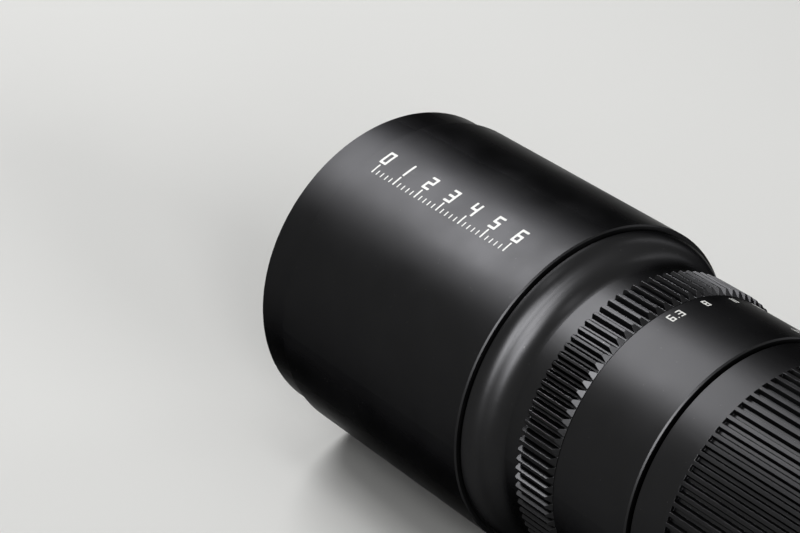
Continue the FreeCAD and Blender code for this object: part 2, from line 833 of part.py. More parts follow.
# A blade is a curved strip of steel that climbs steadily from its pivot end to its drive end,
# so that ten of them lie over one another without touching. It is lofted in straight steps.
def blade_shape():
    steps = round(size.blade_steps.number())
    overrun = size.blade_overrun_degrees.number()
    span = blade_span.number()
    rise_per_degree = size.blade_climb_height.number() / 360
    start = (blade_front - flange).number()
    sections = []
    for step in range(steps + 1):
        turned_by = span * step / steps
        angle = math.radians(turned_by - overrun)
        sections.append(blade_section(angle, start + rise_per_degree * turned_by))
    strip = Part.makeLoft(sections, True, True)
    pin_radius = size.blade_pin_radius.number()
    pivot_radius = blade_pivot_radius.number()
    thickness = size.blade_thickness.number()
    backward = Vector(0, 1, 0)
    pivot_foot = (iris_seat - flange + size.blade_pin_lift).number()
    pivot_top = start + rise_per_degree * overrun + thickness / 2
    pivot_pin = Part.makeCylinder(pin_radius, pivot_top - pivot_foot,
                                  Vector(pivot_radius, pivot_foot, 0), backward)
    reach = math.radians(blade_reach.number())
    drive_foot = start + rise_per_degree * (overrun + blade_reach.number()) + thickness / 2
    drive_top = (drive_rear - flange).number()
    drive_pin = Part.makeCylinder(pin_radius, drive_top - drive_foot,
                                  Vector(pivot_radius * math.cos(reach), drive_foot,
                                         pivot_radius * math.sin(reach)), backward)
    return strip.fuse([pivot_pin, drive_pin])


blades = round(size.blade_count.number())
for blade_index in range(blades):
    blade = document.addObject("Part::Feature", f"iris_blade_{blade_index + 1:02d}")
    blade.Label = blade.Name
    blade.Shape = blade_shape()
    blade.Placement = FreeCAD.Placement(Vector(), FreeCAD.Rotation(Vector(0, -1, 0),
                                                                   360 * blade_index / blades))

# Number band: fixed sleeve behind the aperture ring, bolted on the core by its inner web.
carriage_front = core_rear + size.band_web_length
turned("number_band", [
    (size.core_radius + size.slip, band_front),
    (band_radius, band_front),
    (band_radius, band_rear - size.edge),
    (band_radius - size.edge, band_rear),
    (band_rear_bore_radius, band_rear),
    (band_rear_bore_radius, carriage_front),
    (band_web_radius, carriage_front),
    (band_web_radius, core_rear),
    (size.core_radius + size.slip, core_rear),
])

# Helicoid carriage: tube that the focus ring's nut drives, kept from turning by the key in its slot.
carriage_bore = guide_radius + size.running
carriage_flange_rear = carriage_front + size.carriage_flange_length
carriage_rear = carriage_front + size.carriage_length
carriage = turned("helicoid_carriage", [
    (carriage_bore, carriage_front),
    (band_rear_bore_radius - size.slip, carriage_front),
    (band_rear_bore_radius - size.slip, carriage_flange_rear),
    (carriage_radius, carriage_flange_rear),
    (carriage_radius, carriage_rear),
    (carriage_bore, carriage_rear),
])
guide_front = focus_front + size.guide_inset
key_front = guide_front + size.key_inset
key_rear = key_front + size.key_length
key_slot_half = size.key_width / 2 + size.running
key_slot = new_sketch(carriage, "key_slot", offset=(None, 0 - flange, None))
draw_outline(key_slot, rectangle(0 - key_slot_half, key_slot_half,
                                 key_front - size.turning_gap,
                                 key_rear + size.focus_travel + size.turning_gap))
cut(carriage, key_slot)

# Focus ring: bare band in front, ribs, and an inner flange at the rear that turns on the barrel's neck.
focus_flange_front = focus_rear - size.focus_flange_length
nut_seat = focus_front + size.nut_inset + size.nut_flange_length
nut_flange_radius = focus_pocket_radius + size.nut_flange_lip
focus_ring = turned("focus_ring", [
    (nut_flange_radius, focus_front),
    (focus_radius - size.edge, focus_front),
    (focus_radius, focus_front + size.edge),
    (focus_radius, focus_rear - size.edge),
    (focus_radius - size.edge, focus_rear),
    (neck_tube_radius + size.running, focus_rear),
    (neck_tube_radius + size.running, focus_flange_front),
    (focus_pocket_radius, focus_flange_front),
    (focus_pocket_radius, nut_seat),
    (nut_flange_radius, nut_seat),
])
cut_ribs(focus_ring, size.focus_rib_count, focus_radius, focus_radius - size.focus_groove_depth,
         size.focus_groove_floor, size.focus_rib_top, grip_front, size.grip_length)

# Helicoid nut: flanged bush fixed in the focus ring.
nut_bore = carriage_radius + size.running
turned("helicoid_nut", [
    (nut_bore, focus_front + size.nut_inset),
    (nut_flange_radius - size.slip, focus_front + size.nut_inset),
    (nut_flange_radius - size.slip, nut_seat),
    (focus_pocket_radius - size.slip, nut_seat),
    (focus_pocket_radius - size.slip, nut_seat + size.nut_length),
    (nut_bore, nut_seat + size.nut_length),
])

# Main barrel: neck for the focus ring, band, shoulder and seat for the tripod collar.
retainer_rear = focus_flange_front - size.turning_gap
neck_tube_front = retainer_rear - size.neck_tube_lead
neck_step_radius = neck_tube_radius - size.neck_tube_step
guide_seat = barrel_front + size.guide_seat_inset
turned("main_barrel", [
    (neck_tube_bore_radius, neck_tube_front),
    (neck_step_radius, neck_tube_front),
    (neck_step_radius, retainer_rear),
    (neck_tube_radius, retainer_rear),
    (neck_tube_radius, barrel_front),
    (barrel_band_radius, barrel_front),
    (barrel_band_radius, seat_front - size.collar_shoulder_length),
    (collar_shoulder_radius, seat_front - size.collar_shoulder_length + size.collar_shoulder_slope),
    (collar_shoulder_radius, seat_front),
    (collar_seat_radius, seat_front),
    (collar_seat_radius, seat_rear),
    (barrel_rear_bore_radius, seat_rear),
    (barrel_rear_bore_radius, guide_seat),
    (neck_tube_bore_radius, guide_seat),
])
ring("focus_retainer", neck_step_radius + size.slip, focus_pocket_radius - size.running,
     retainer_rear - size.focus_retainer_length, retainer_rear)

# Guide tube: the carriage slides on it, and a flat milled in it carries the key.
guide_inner = guide_radius - size.guide_wall
guide_flange_front = guide_seat - size.guide_flange_length
guide_tube = turned("guide_tube", [
    (guide_inner, guide_front),
    (guide_radius, guide_front),
    (guide_radius, guide_flange_front),
    (neck_tube_bore_radius - size.slip, guide_flange_front),
    (neck_tube_bore_radius - size.slip, guide_seat),
    (guide_inner, guide_seat),
])
key_half = size.key_width / 2
key_flat = new_sketch(guide_tube, "key_flat", offset=(None, 0 - flange, 0 - key_floor))
draw_outline(key_flat, rectangle(0 - key_half - size.slip, key_half + size.slip,
                                 key_front - size.slip, key_rear + size.slip))
cut(guide_tube, key_flat)
focus_key = new_body("focus_key")
key_outline = new_sketch(focus_key, "key_outline", offset=(None, 0 - flange, 0 - key_floor))
draw_outline(key_outline, rectangle(0 - key_half, key_half, key_front, key_rear))
add(focus_key, key_outline, key_height, reversed_pad=True)

# Tail cone: closes the collar's seat, carries the rear cell on a bulkhead and narrows to the mount.
bulkhead_rear = seat_rear + size.bulkhead_length
tail_spigot_radius = barrel_rear_bore_radius - size.slip
tail_inner = tail_radius - size.tail_wall
mount_spigot_bore = mount_spigot_radius + size.slip
turned("tail_cone", [
    (tail_spigot_radius - size.tail_spigot_wall, seat_rear - size.tail_spigot_length),
    (tail_spigot_radius, seat_rear - size.tail_spigot_length),
    (tail_spigot_radius, seat_rear),
    (collar_shoulder_radius, seat_rear),
    (collar_shoulder_radius, cone_front),
    (tail_radius, cone_rear),
    (tail_radius, tail_rear),
    (mount_spigot_bore, tail_rear),
    (mount_spigot_bore, tail_rear - size.tail_lip_length),
    (tail_inner, tail_rear - size.tail_lip_length),
    (tail_inner, cone_rear),
    (collar_shoulder_radius - size.tail_wall, cone_front),
    (collar_shoulder_radius - size.tail_wall, bulkhead_rear),
    (bulkhead_bore_radius, bulkhead_rear),
    (bulkhead_bore_radius, seat_rear),
    (tail_spigot_radius - size.tail_spigot_wall, seat_rear),
])

# Rear lens cell: screwed through the bulkhead from the front, flange against it.
rear_cell_outer = bulkhead_bore_radius - size.slip
rear_pocket = size.rear_element_radius + size.slip
rear_cell_front = seat_rear - size.rear_cell_flange_length - size.rear_cell_front_length
rear_cell_rear = seat_rear + size.rear_cell_rear_length
rear_stack_inner = rear_seat_radius + size.seat_relief
fourth_rear_seat = rear_cell_rear - size.rear_cell_lip_length
fourth_front_seat = fourth_rear_seat - size.fourth_edge
third_rear_seat = fourth_front_seat - size.rear_spacer_length
third_front_seat = third_rear_seat - size.third_edge
turned("rear_cell", [
    (rear_pocket, rear_cell_front),
    (rear_cell_outer, rear_cell_front),
    (rear_cell_outer, seat_rear - size.rear_cell_flange_length),
    (rear_cell_flange_radius, seat_rear - size.rear_cell_flange_length),
    (rear_cell_flange_radius, seat_rear),
    (rear_cell_outer, seat_rear),
    (rear_cell_outer, rear_cell_rear),
    (rear_stack_inner, rear_cell_rear),
    (rear_stack_inner, fourth_rear_seat),
    (rear_pocket, fourth_rear_seat),
])
element("third_element", size.rear_element_radius, rear_seat_radius, third_front_seat, third_rear_seat,
        size.third_front_curve, -1, size.third_rear_curve, -1)
ring("rear_spacer", rear_stack_inner, size.rear_element_radius, third_rear_seat, fourth_front_seat)
element("fourth_element", size.rear_element_radius, rear_seat_radius, fourth_front_seat,
        fourth_rear_seat, size.fourth_front_curve, 1, size.fourth_rear_curve, 1)
retaining_ring("rear_retaining_ring", rear_stack_inner, size.rear_element_radius,
               third_front_seat - size.rear_ring_length, third_front_seat)

# Mount ring: flange face at the origin, and the camera thread behind it.
turned("mount_ring", [
    (mount_bore_radius, tail_rear - size.tail_lip_length),
    (mount_spigot_radius, tail_rear - size.tail_lip_length),
    (mount_spigot_radius, tail_rear),
    (mount_flange_radius - size.edge, tail_rear),
    (mount_flange_radius, tail_rear + size.edge),
    (mount_flange_radius, flange - size.edge),
    (mount_flange_radius - size.edge, flange),
    (size.mount_thread_radius, flange),
    (size.mount_thread_radius, thread_rear - size.edge),
    (size.mount_thread_radius - size.edge, thread_rear),
    (mount_bore_radius, thread_rear),
])

# Tripod collar: ring that turns on the barrel, with the pad for the foot and the boss for the lock.
collar_bore = collar_seat_radius + size.running
collar_outer = collar_bore + size.collar_wall
collar_front = seat_front + size.turning_gap
collar_rear = seat_rear - size.turning_gap
collar = turned("tripod_collar", [
    (collar_bore, collar_front),
    (collar_outer - size.foot_edge, collar_front),
    (collar_outer, collar_front + size.foot_edge),
    (collar_outer, collar_rear - size.foot_edge),
    (collar_outer - size.foot_edge, collar_rear),
    (collar_bore, collar_rear),
])
pad_bottom = collar_outer + size.foot_pad_drop
foot_pad = new_sketch(collar, "foot_pad", offset=(None, seat_middle - flange, 0 - pad_bottom))
draw_outline(foot_pad, rectangle(0 - size.foot_pad_width / 2, size.foot_pad_width / 2,
                                 0 - size.foot_pad_length / 2, size.foot_pad_length / 2))
add(collar, foot_pad, size.foot_pad_drop + size.foot_pad_sink)
lock_boss_inner = collar_bore + size.lock_boss_root
lock_boss_outer = collar_outer + size.lock_boss_height
# On this plane x runs along Y and y along Z, and it faces +X.
lock_boss = new_sketch(collar, "lock_boss", "YZ_Plane", (seat_middle - flange, None, lock_boss_inner))
draw_circle(lock_boss, size.lock_boss_radius)
add(collar, lock_boss, lock_boss_outer - lock_boss_inner)
lock_bore = new_sketch(collar, "lock_bore", "YZ_Plane", (seat_middle - flange, None, lock_boss_outer))
draw_circle(lock_bore, size.lock_stud_radius + size.slip)
cut(collar, lock_bore, lock_boss_outer - lock_boss_inner + size.collar_wall)

# Foot: its bottom is level with the hood sleeve's lowest line. It has the tripod socket and two
# counterbored screws.
foot_bottom = pad_bottom + size.foot_height
foot = new_body("tripod_foot")
foot_outline = new_sketch(foot, "foot_outline", offset=(None, seat_middle - flange, 0 - foot_bottom))
half_width = size.foot_width / 2
half_length = size.foot_length / 2
corner = size.foot_corner
draw_outline(foot_outline, [
    (half_width, corner - half_length),
    (half_width, half_length - corner),
    Arc(corner, 1),
    (half_width - corner, half_length),
    (corner - half_width, half_length),
    Arc(corner, 1),
    (0 - half_width, half_length - corner),
    (0 - half_width, corner - half_length),
    Arc(corner, 1),
    (corner - half_width, 0 - half_length),
    (half_width - corner, 0 - half_length),
    Arc(corner, 1),
])
add(foot, foot_outline, size.foot_height)


# A round hole bored upwards from the foot's bottom face, also into the collar's pad.
def bore_upwards(body, name, radius, along, depth, start=foot_bottom):
    hole = new_sketch(body, name, offset=(None, seat_middle - flange + along, 0 - start))
    draw_circle(hole, radius)
    cut(body, hole, depth, reversed_cut=True)


socket_in_pad = size.socket_depth - size.foot_height
bore_upwards(foot, "socket", size.socket_radius, Size(0), size.foot_height)
bore_upwards(collar, "pad_socket", size.socket_radius, Size(0), socket_in_pad, pad_bottom)
head_depth = size.foot_screw_head_length + size.foot_screw_recess
for end, side in (("front", -1), ("rear", 1)):
    along = side * size.foot_screw_offset
    bore_upwards(foot, f"{end}_screw_hole", size.foot_screw_radius + size.slip, along, size.foot_height)
    bore_upwards(foot, f"{end}_screw_head_hole", size.foot_screw_head_radius + size.slip, along, head_depth)
    bore_upwards(collar, f"{end}_pad_screw_hole", size.foot_screw_radius + size.slip, along,
                 size.foot_screw_length + head_depth + size.seam_gap - size.foot_height, pad_bottom)
    screw = turned_alone(f"foot_screw_{end}", [
        (Size(0), size.foot_screw_key_depth),
        (size.foot_screw_key_radius, size.foot_screw_key_depth),
        (size.foot_screw_key_radius, Size(0)),
        (size.foot_screw_head_radius, Size(0)),
        (size.foot_screw_head_radius, size.foot_screw_head_length),
        (size.foot_screw_radius, size.foot_screw_head_length),
        (size.foot_screw_radius, size.foot_screw_head_length + size.foot_screw_length),
        (Size(0), size.foot_screw_head_length + size.foot_screw_length),
    ])
    place(screw, FreeCAD.Rotation(Vector(1, 0, 0), 90), y=seat_middle - flange + along,
          z=size.foot_screw_recess - foot_bottom)

# Lock: knob with its stud, and the soft pad that the stud presses on the barrel.
lock_pad_inner = collar_seat_radius + size.lock_pad_gap
lock_pad_outer = lock_pad_inner + size.lock_pad_thickness
towards_side = FreeCAD.Rotation(Vector(0, 0, 1), -90)
lock_pad = turned_alone("lock_pad", [
    (Size(0), Size(0)),
    (size.lock_stud_radius, Size(0)),
    (size.lock_stud_radius, size.lock_pad_thickness),
    (Size(0), size.lock_pad_thickness),
])
place(lock_pad, towards_side, x=lock_pad_inner, y=seat_middle - flange)
stud_length = lock_boss_outer + size.lock_knob_gap - lock_pad_outer - size.running
waist_end = stud_length + size.lock_knob_waist_length
knob_end = stud_length + size.lock_knob_length
lock_knob = turned_alone("lock_knob", [
    (Size(0), Size(0)),
    (size.lock_stud_radius, Size(0)),
    (size.lock_stud_radius, stud_length),
    (size.lock_knob_waist, stud_length),
    (size.lock_knob_waist, waist_end),
    (size.lock_knob_radius - size.edge, waist_end),
    (size.lock_knob_radius, waist_end + size.edge),
    (size.lock_knob_radius, knob_end - size.foot_edge),
    (size.lock_knob_radius - size.foot_edge, knob_end),
    (Size(0), knob_end),
])
flute = new_sketch(lock_knob, "flute", "XZ_Plane", (None, None, 0 - waist_end))
flute_middle = size.lock_knob_radius + size.lock_flute_radius - size.lock_flute_depth
draw_circle(flute, size.lock_flute_radius, along=flute_middle)
repeat_round_axis(lock_knob, cut(lock_knob, flute, size.lock_knob_length), size.lock_flute_count)
place(lock_knob, towards_side, x=lock_pad_outer + size.running, y=seat_middle - flange)

document.recompute()

# Nothing is written unless every object and every solid is sound.
for item in document.Objects:
    if "Invalid" in item.State or "Error" in item.State:
        raise ValueError(f"{item.Label} failed: {item.State}")
pieces = [item for item in document.Objects
          if item.TypeId == "PartDesign::Body" or item.Name.startswith("iris_blade_")]
os.makedirs("parts", exist_ok=True)
for piece in pieces:
    if piece.Shape.isNull() or not piece.Shape.isValid() or len(piece.Shape.Solids) != 1:
        raise ValueError(f"{piece.Label} is not one sound solid")
for piece in pieces:
    piece.Shape.exportStep(f"parts/{piece.Label}.step")
print(len(pieces), "pieces written")
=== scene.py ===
import math

import bmesh
import bpy
from mathutils import Matrix, Vector, noise


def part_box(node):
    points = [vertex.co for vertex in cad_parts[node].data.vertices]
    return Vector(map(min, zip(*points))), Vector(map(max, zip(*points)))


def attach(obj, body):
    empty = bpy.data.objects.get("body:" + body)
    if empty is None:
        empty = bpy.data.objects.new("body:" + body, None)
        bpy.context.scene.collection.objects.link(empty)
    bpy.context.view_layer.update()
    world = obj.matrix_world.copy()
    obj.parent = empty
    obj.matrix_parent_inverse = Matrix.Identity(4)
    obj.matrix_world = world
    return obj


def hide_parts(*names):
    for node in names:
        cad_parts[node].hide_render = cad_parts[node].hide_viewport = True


# A black telephoto lens. The scene is in metres, and the sizes of its pieces are written in millimetres.
# The optical axis lies along Y, with the front glass towards -Y and the camera flange at y = 0.
# Angles round the barrel are counted from the top (+Z) towards the lock knob's side (+X).

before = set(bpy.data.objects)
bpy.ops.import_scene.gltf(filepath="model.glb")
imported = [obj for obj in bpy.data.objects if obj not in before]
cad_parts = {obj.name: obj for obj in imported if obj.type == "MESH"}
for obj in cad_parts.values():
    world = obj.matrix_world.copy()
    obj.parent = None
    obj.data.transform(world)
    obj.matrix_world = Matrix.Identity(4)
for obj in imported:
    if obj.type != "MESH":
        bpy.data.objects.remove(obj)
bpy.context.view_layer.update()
millimetre = 0.001
print("frame loaded:", len(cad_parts), "nodes")


def fromHex(code):  # an sRGB hex value as the linear colour that a socket takes
    channels = [int(code[place:place + 2], 16) / 255 for place in (1, 3, 5)]
    return (*[c / 12.92 if c <= 0.04045 else ((c + 0.055) / 1.055) ** 2.4 for c in channels], 1.0)


def addNode(tree, kind, inputs=None, **settings):  # a node with its settings, values and links
    node = tree.nodes.new("ShaderNode" + kind)
    for name, value in settings.items():
        setattr(node, name, value)
    for name, value in (inputs or {}).items():
        if isinstance(value, bpy.types.NodeSocket):
            tree.links.new(value, node.inputs[name])
        else:
            node.inputs[name].default_value = value
    return node


def newMaterial(name):
    material = bpy.data.materials.new(name)
    material.use_nodes = True
    material.node_tree.nodes.clear()
    return material, material.node_tree


def finishMaterial(tree, shader):
    output = addNode(tree, "OutputMaterial")
    tree.links.new(shader, output.inputs["Surface"])


def featureScale(size):  # noise and cell scale for a feature of this many millimetres
    return 1 / (size * millimetre)


def bumpFrom(tree, height, depth, **more):  # a normal from a height that is this many millimetres deep
    return addNode(tree, "Bump", {"Height": height, "Strength": 1.0, "Distance": depth * millimetre,
                                  **more}).outputs["Normal"]


print("materials")

# Black anodised aluminium: a dyed oxide skin over metal.
# It has nearly no colour of its own, only a broad grey sheen.
# Bead blasting leaves fine dents that spread the sheen, and turning leaves faint lines round the axis.
anodisedLooks = {
    "blastedAnodising": {"colour": "#232324", "lift": "#272728", "roughness": 0.33, "rubbed": 0.04,
                         "grit": 0.3, "gritDepth": 0.003, "lines": 0.0, "wear": 0.3},
    "turnedAnodising": {"colour": "#262627", "lift": "#2a2a2b", "roughness": 0.33, "rubbed": 0.03,
                        "grit": 0.3, "gritDepth": 0.0015, "lines": 0.001, "wear": 0.4},
    "lappedAnodising": {"colour": "#272728", "lift": "#2b2b2c", "roughness": 0.32, "rubbed": 0.02,
                        "grit": 0.3, "gritDepth": 0.001, "lines": 0.0, "wear": 0.3},
    "milledAnodising": {"colour": "#222223", "lift": "#262627", "roughness": 0.24, "rubbed": 0.03,
                        "grit": 0.3, "gritDepth": 0.001, "lines": 0.0, "wear": 0.7},
    "dullAnodising": {"colour": "#171718", "lift": "#1c1c1d", "roughness": 0.58, "rubbed": 0.04,
                      "grit": 0.4, "gritDepth": 0.01, "lines": 0.008, "wear": 0.0},
}
lineSpacing = 0.35        # mm; a fine feed is about 0.1 mm, drawn coarser so that it shows
cloudSize = 16            # mm; faint clouds where hands have rubbed the oxide
cloudRange = (0.3, 0.7)   # the noise values between which the rubbing goes from least to most
edgeRadius = 0.12         # mm; the rounding of every milled edge
edgeTurn = (0.97, 0.85)   # cosines of the turn where an edge starts to wear and where it is fully worn
bareEdgeColour = "#77777a"
glanceColour = "#a0a0a0"  # the oxide's pores take most of the light that only grazes it
dustLook = {"spacing": 3.2, "size": 0.05, "strength": 0.25, "colour": "#9a9a98"}  # size is a share of spacing


def anodised(name, look):
    material, tree = newMaterial(name)
    place = addNode(tree, "TexCoord").outputs["Object"]
    grain = addNode(tree, "TexNoise", {"Vector": place, "Scale": featureScale(look["grit"]), "Detail": 2.0,
                                       "Roughness": 0.6})
    cloud = addNode(tree, "TexNoise", {"Vector": place, "Scale": featureScale(cloudSize), "Detail": 3.0})
    along = addNode(tree, "SeparateXYZ", {"Vector": place}).outputs["Y"]
    lines = addNode(tree, "TexNoise", {"W": along, "Scale": featureScale(lineSpacing), "Detail": 1.0},
                    noise_dimensions="1D")
    # rounded edges catch the light, and the outermost ones have lost a little of their oxide
    softEdge = addNode(tree, "Bevel", {"Radius": edgeRadius * millimetre}, samples=4)
    flat = addNode(tree, "NewGeometry")
    turnAway = addNode(tree, "VectorMath", {0: softEdge.outputs["Normal"], 1: flat.outputs["Normal"]},
                       operation="DOT_PRODUCT")
    edge = addNode(tree, "MapRange", {"Value": turnAway.outputs["Value"], "From Min": edgeTurn[0],
                                      "From Max": edgeTurn[1], "To Min": 0.0, "To Max": look["wear"]})
    patchy = addNode(tree, "Math", {0: edge.outputs["Result"], 1: cloud.outputs["Fac"]}, operation="MULTIPLY")
    tone = addNode(tree, "Mix", {"Factor": cloud.outputs["Fac"], "A": fromHex(look["colour"]),
                                 "B": fromHex(look["lift"])}, data_type="RGBA")
    worn = addNode(tree, "Mix", {"Factor": patchy.outputs["Value"], "A": tone.outputs["Result"],
                                 "B": fromHex(bareEdgeColour)}, data_type="RGBA")
    speck = addNode(tree, "TexVoronoi", {"Vector": place, "Scale": featureScale(dustLook["spacing"])})
    dust = addNode(tree, "MapRange", {"Value": speck.outputs["Distance"], "From Min": dustLook["size"],
                                      "From Max": 0.0, "To Min": 0.0, "To Max": dustLook["strength"]})
    dusty = addNode(tree, "Mix", {"Factor": dust.outputs["Result"], "A": worn.outputs["Result"],
                                  "B": fromHex(dustLook["colour"])}, data_type="RGBA")
    rubbed = addNode(tree, "MapRange", {"Value": cloud.outputs["Fac"], "From Min": cloudRange[0],
                                        "From Max": cloudRange[1],
                                        "To Min": look["roughness"] - look["rubbed"],
                                        "To Max": look["roughness"] + look["rubbed"]})
    normal = bumpFrom(tree, grain.outputs["Fac"], look["gritDepth"], Normal=softEdge.outputs["Normal"])
    if look["lines"]:
        normal = bumpFrom(tree, lines.outputs["Fac"], look["lines"], Normal=normal)
    shader = addNode(tree, "BsdfPrincipled", {"Base Color": dusty.outputs["Result"], "Metallic": 1.0,
                                              "Specular Tint": fromHex(glanceColour),
                                              "Roughness": rubbed.outputs["Result"], "Normal": normal})
    finishMaterial(tree, shader.outputs["BSDF"])
    return material


finishes = {name: anodised(name, look) for name, look in anodisedLooks.items()}

# Turned brass and ground steel: bright metals with the cutter's lines round the axis.
brightMetals = {
    "turnedBrass": {"colour": "#b8964f", "roughness": 0.3, "lineDepth": 0.004},
    "groundSteel": {"colour": "#9a9a9c", "roughness": 0.32, "lineDepth": 0.003},
    "blackOxideSteel": {"colour": "#3d3d40", "roughness": 0.38, "lineDepth": 0.003},
}
brightCloud = 1.5         # mm; patches where the cut is a little smoother or rougher
brightSpread = 0.08       # how far the roughness strays either way
brightLine = 0.2          # mm between the cutter's lines
for name, look in brightMetals.items():
    material, tree = newMaterial(name)
    place = addNode(tree, "TexCoord").outputs["Object"]
    cloud = addNode(tree, "TexNoise", {"Vector": place, "Scale": featureScale(brightCloud), "Detail": 3.0})
    along = addNode(tree, "SeparateXYZ", {"Vector": place}).outputs["Y"]
    lines = addNode(tree, "TexNoise", {"W": along, "Scale": featureScale(brightLine), "Detail": 1.0},
                    noise_dimensions="1D")
    rough = addNode(tree, "MapRange", {"Value": cloud.outputs["Fac"],
                                       "To Min": look["roughness"] - brightSpread,
                                       "To Max": look["roughness"] + brightSpread})
    bump = bumpFrom(tree, lines.outputs["Fac"], look["lineDepth"])
    shader = addNode(tree, "BsdfPrincipled", {"Base Color": fromHex(look["colour"]), "Metallic": 1.0,
                                              "Roughness": rough.outputs["Result"], "Normal": bump})
    finishMaterial(tree, shader.outputs["BSDF"])
    finishes[name] = material

# Blackened spring steel of the iris blades: thin oiled strip, faint rolling scratches.
bladeLook = {"colour": "#2f2f33", "roughness": 0.34, "spread": 0.1, "scratchSize": 0.6, "scratchDepth": 0.003,
             "stretch": 0.08}
material, tree = newMaterial("blackenedSpringSteel")
place = addNode(tree, "TexCoord").outputs["Object"]
stretched = addNode(tree, "Mapping", {"Vector": place, "Scale": (1.0, 1.0, bladeLook["stretch"])})
scratches = addNode(tree, "TexNoise", {"Vector": stretched.outputs["Vector"], "Detail": 3.0,
                                       "Scale": featureScale(bladeLook["scratchSize"])})
rough = addNode(tree, "MapRange", {"Value": scratches.outputs["Fac"],
                                   "To Min": bladeLook["roughness"] - bladeLook["spread"],
                                   "To Max": bladeLook["roughness"] + bladeLook["spread"]})
bump = bumpFrom(tree, scratches.outputs["Fac"], bladeLook["scratchDepth"])
shader = addNode(tree, "BsdfPrincipled", {"Base Color": fromHex(bladeLook["colour"]), "Metallic": 1.0,
                                          "Roughness": rough.outputs["Result"], "Normal": bump})
finishMaterial(tree, shader.outputs["BSDF"])
finishes["blackenedSpringSteel"] = material

# Black felt: short matted fibres that take the light away, with a faint sheen at a grazing angle.
feltLook = {"colour": "#151516", "lift": "#232324", "fibre": 0.25, "fibreDepth": 0.08, "roughness": 0.95,
            "sheen": 0.4, "sheenRoughness": 0.5}
material, tree = newMaterial("blackFelt")
place = addNode(tree, "TexCoord").outputs["Object"]
fibres = addNode(tree, "TexNoise", {"Vector": place, "Scale": featureScale(feltLook["fibre"]), "Detail": 4.0})
tone = addNode(tree, "Mix", {"Factor": fibres.outputs["Fac"], "A": fromHex(feltLook["colour"]),
                             "B": fromHex(feltLook["lift"])}, data_type="RGBA")
bump = bumpFrom(tree, fibres.outputs["Fac"], feltLook["fibreDepth"])
shader = addNode(tree, "BsdfPrincipled", {"Base Color": tone.outputs["Result"],
                                          "Roughness": feltLook["roughness"],
                                          "Sheen Weight": feltLook["sheen"],
                                          "Sheen Roughness": feltLook["sheenRoughness"], "Normal": bump})
finishMaterial(tree, shader.outputs["BSDF"])
finishes["blackFelt"] = material

# Screen-printed ink: off-white epoxy, matt, thin enough for the grain below to show a little.
inkLook = {"colour": "#e4e4e0", "thin": "#c9c9c6", "roughness": 0.45, "grain": 0.3, "depth": 0.006}
material, tree = newMaterial("whiteInk")
place = addNode(tree, "TexCoord").outputs["Object"]
grain = addNode(tree, "TexNoise", {"Vector": place, "Scale": featureScale(inkLook["grain"]), "Detail": 3.0})
tone = addNode(tree, "Mix", {"Factor": grain.outputs["Fac"], "A": fromHex(inkLook["thin"]),
                             "B": fromHex(inkLook["colour"])}, data_type="RGBA")
bump = bumpFrom(tree, grain.outputs["Fac"], inkLook["depth"])
shader = addNode(tree, "BsdfPrincipled", {"Base Color": tone.outputs["Result"],
                                          "Roughness": inkLook["roughness"], "Normal": bump})
finishMaterial(tree, shader.outputs["BSDF"])
finishes["whiteInk"] = material

# Optical glass: polished and clear. Its coating leaves a weak reflection, green in front and violet behind.
# The ground edge and seat of each element are painted matt black, so it is clear only inside its seat.
glassLooks = {
    "frontGlass": {"index": 1.517, "coating": "#b9cdc4", "clearRadius": 41.4},
    "rearGlass": {"index": 1.62, "coating": "#b8a8cc", "clearRadius": 18.7},
}
coatedLevel = 0.2         # 0.5 is bare glass
edgePaint = {"colour": "#101010", "roughness": 0.8, "grain": 0.3, "depth": 0.02}
for name, look in glassLooks.items():
    material, tree = newMaterial(name)
    place = addNode(tree, "TexCoord").outputs["Object"]
    parts = addNode(tree, "SeparateXYZ", {"Vector": place})
    across = addNode(tree, "CombineXYZ", {"X": parts.outputs["X"], "Z": parts.outputs["Z"]})
    radius = addNode(tree, "VectorMath", {0: across.outputs["Vector"]}, operation="LENGTH")
    painted = addNode(tree, "Math", {0: radius.outputs["Value"], 1: look["clearRadius"] * millimetre},
                      operation="GREATER_THAN")
    grain = addNode(tree, "TexNoise", {"Vector": place, "Scale": featureScale(edgePaint["grain"])})
    clear = addNode(tree, "BsdfPrincipled", {"Base Color": (1, 1, 1, 1), "Roughness": 0.0,
                                             "IOR": look["index"], "Transmission Weight": 1.0,
                                             "Specular IOR Level": coatedLevel,
                                             "Specular Tint": fromHex(look["coating"])})
    bump = bumpFrom(tree, grain.outputs["Fac"], edgePaint["depth"])
    paint = addNode(tree, "BsdfPrincipled", {"Base Color": fromHex(edgePaint["colour"]),
                                             "Roughness": edgePaint["roughness"], "Normal": bump})
    mixed = addNode(tree, "MixShader", {0: painted.outputs["Value"], 1: clear.outputs["BSDF"],
                                        2: paint.outputs["BSDF"]})
    finishMaterial(tree, mixed.outputs["Shader"])
    finishes[name] = material

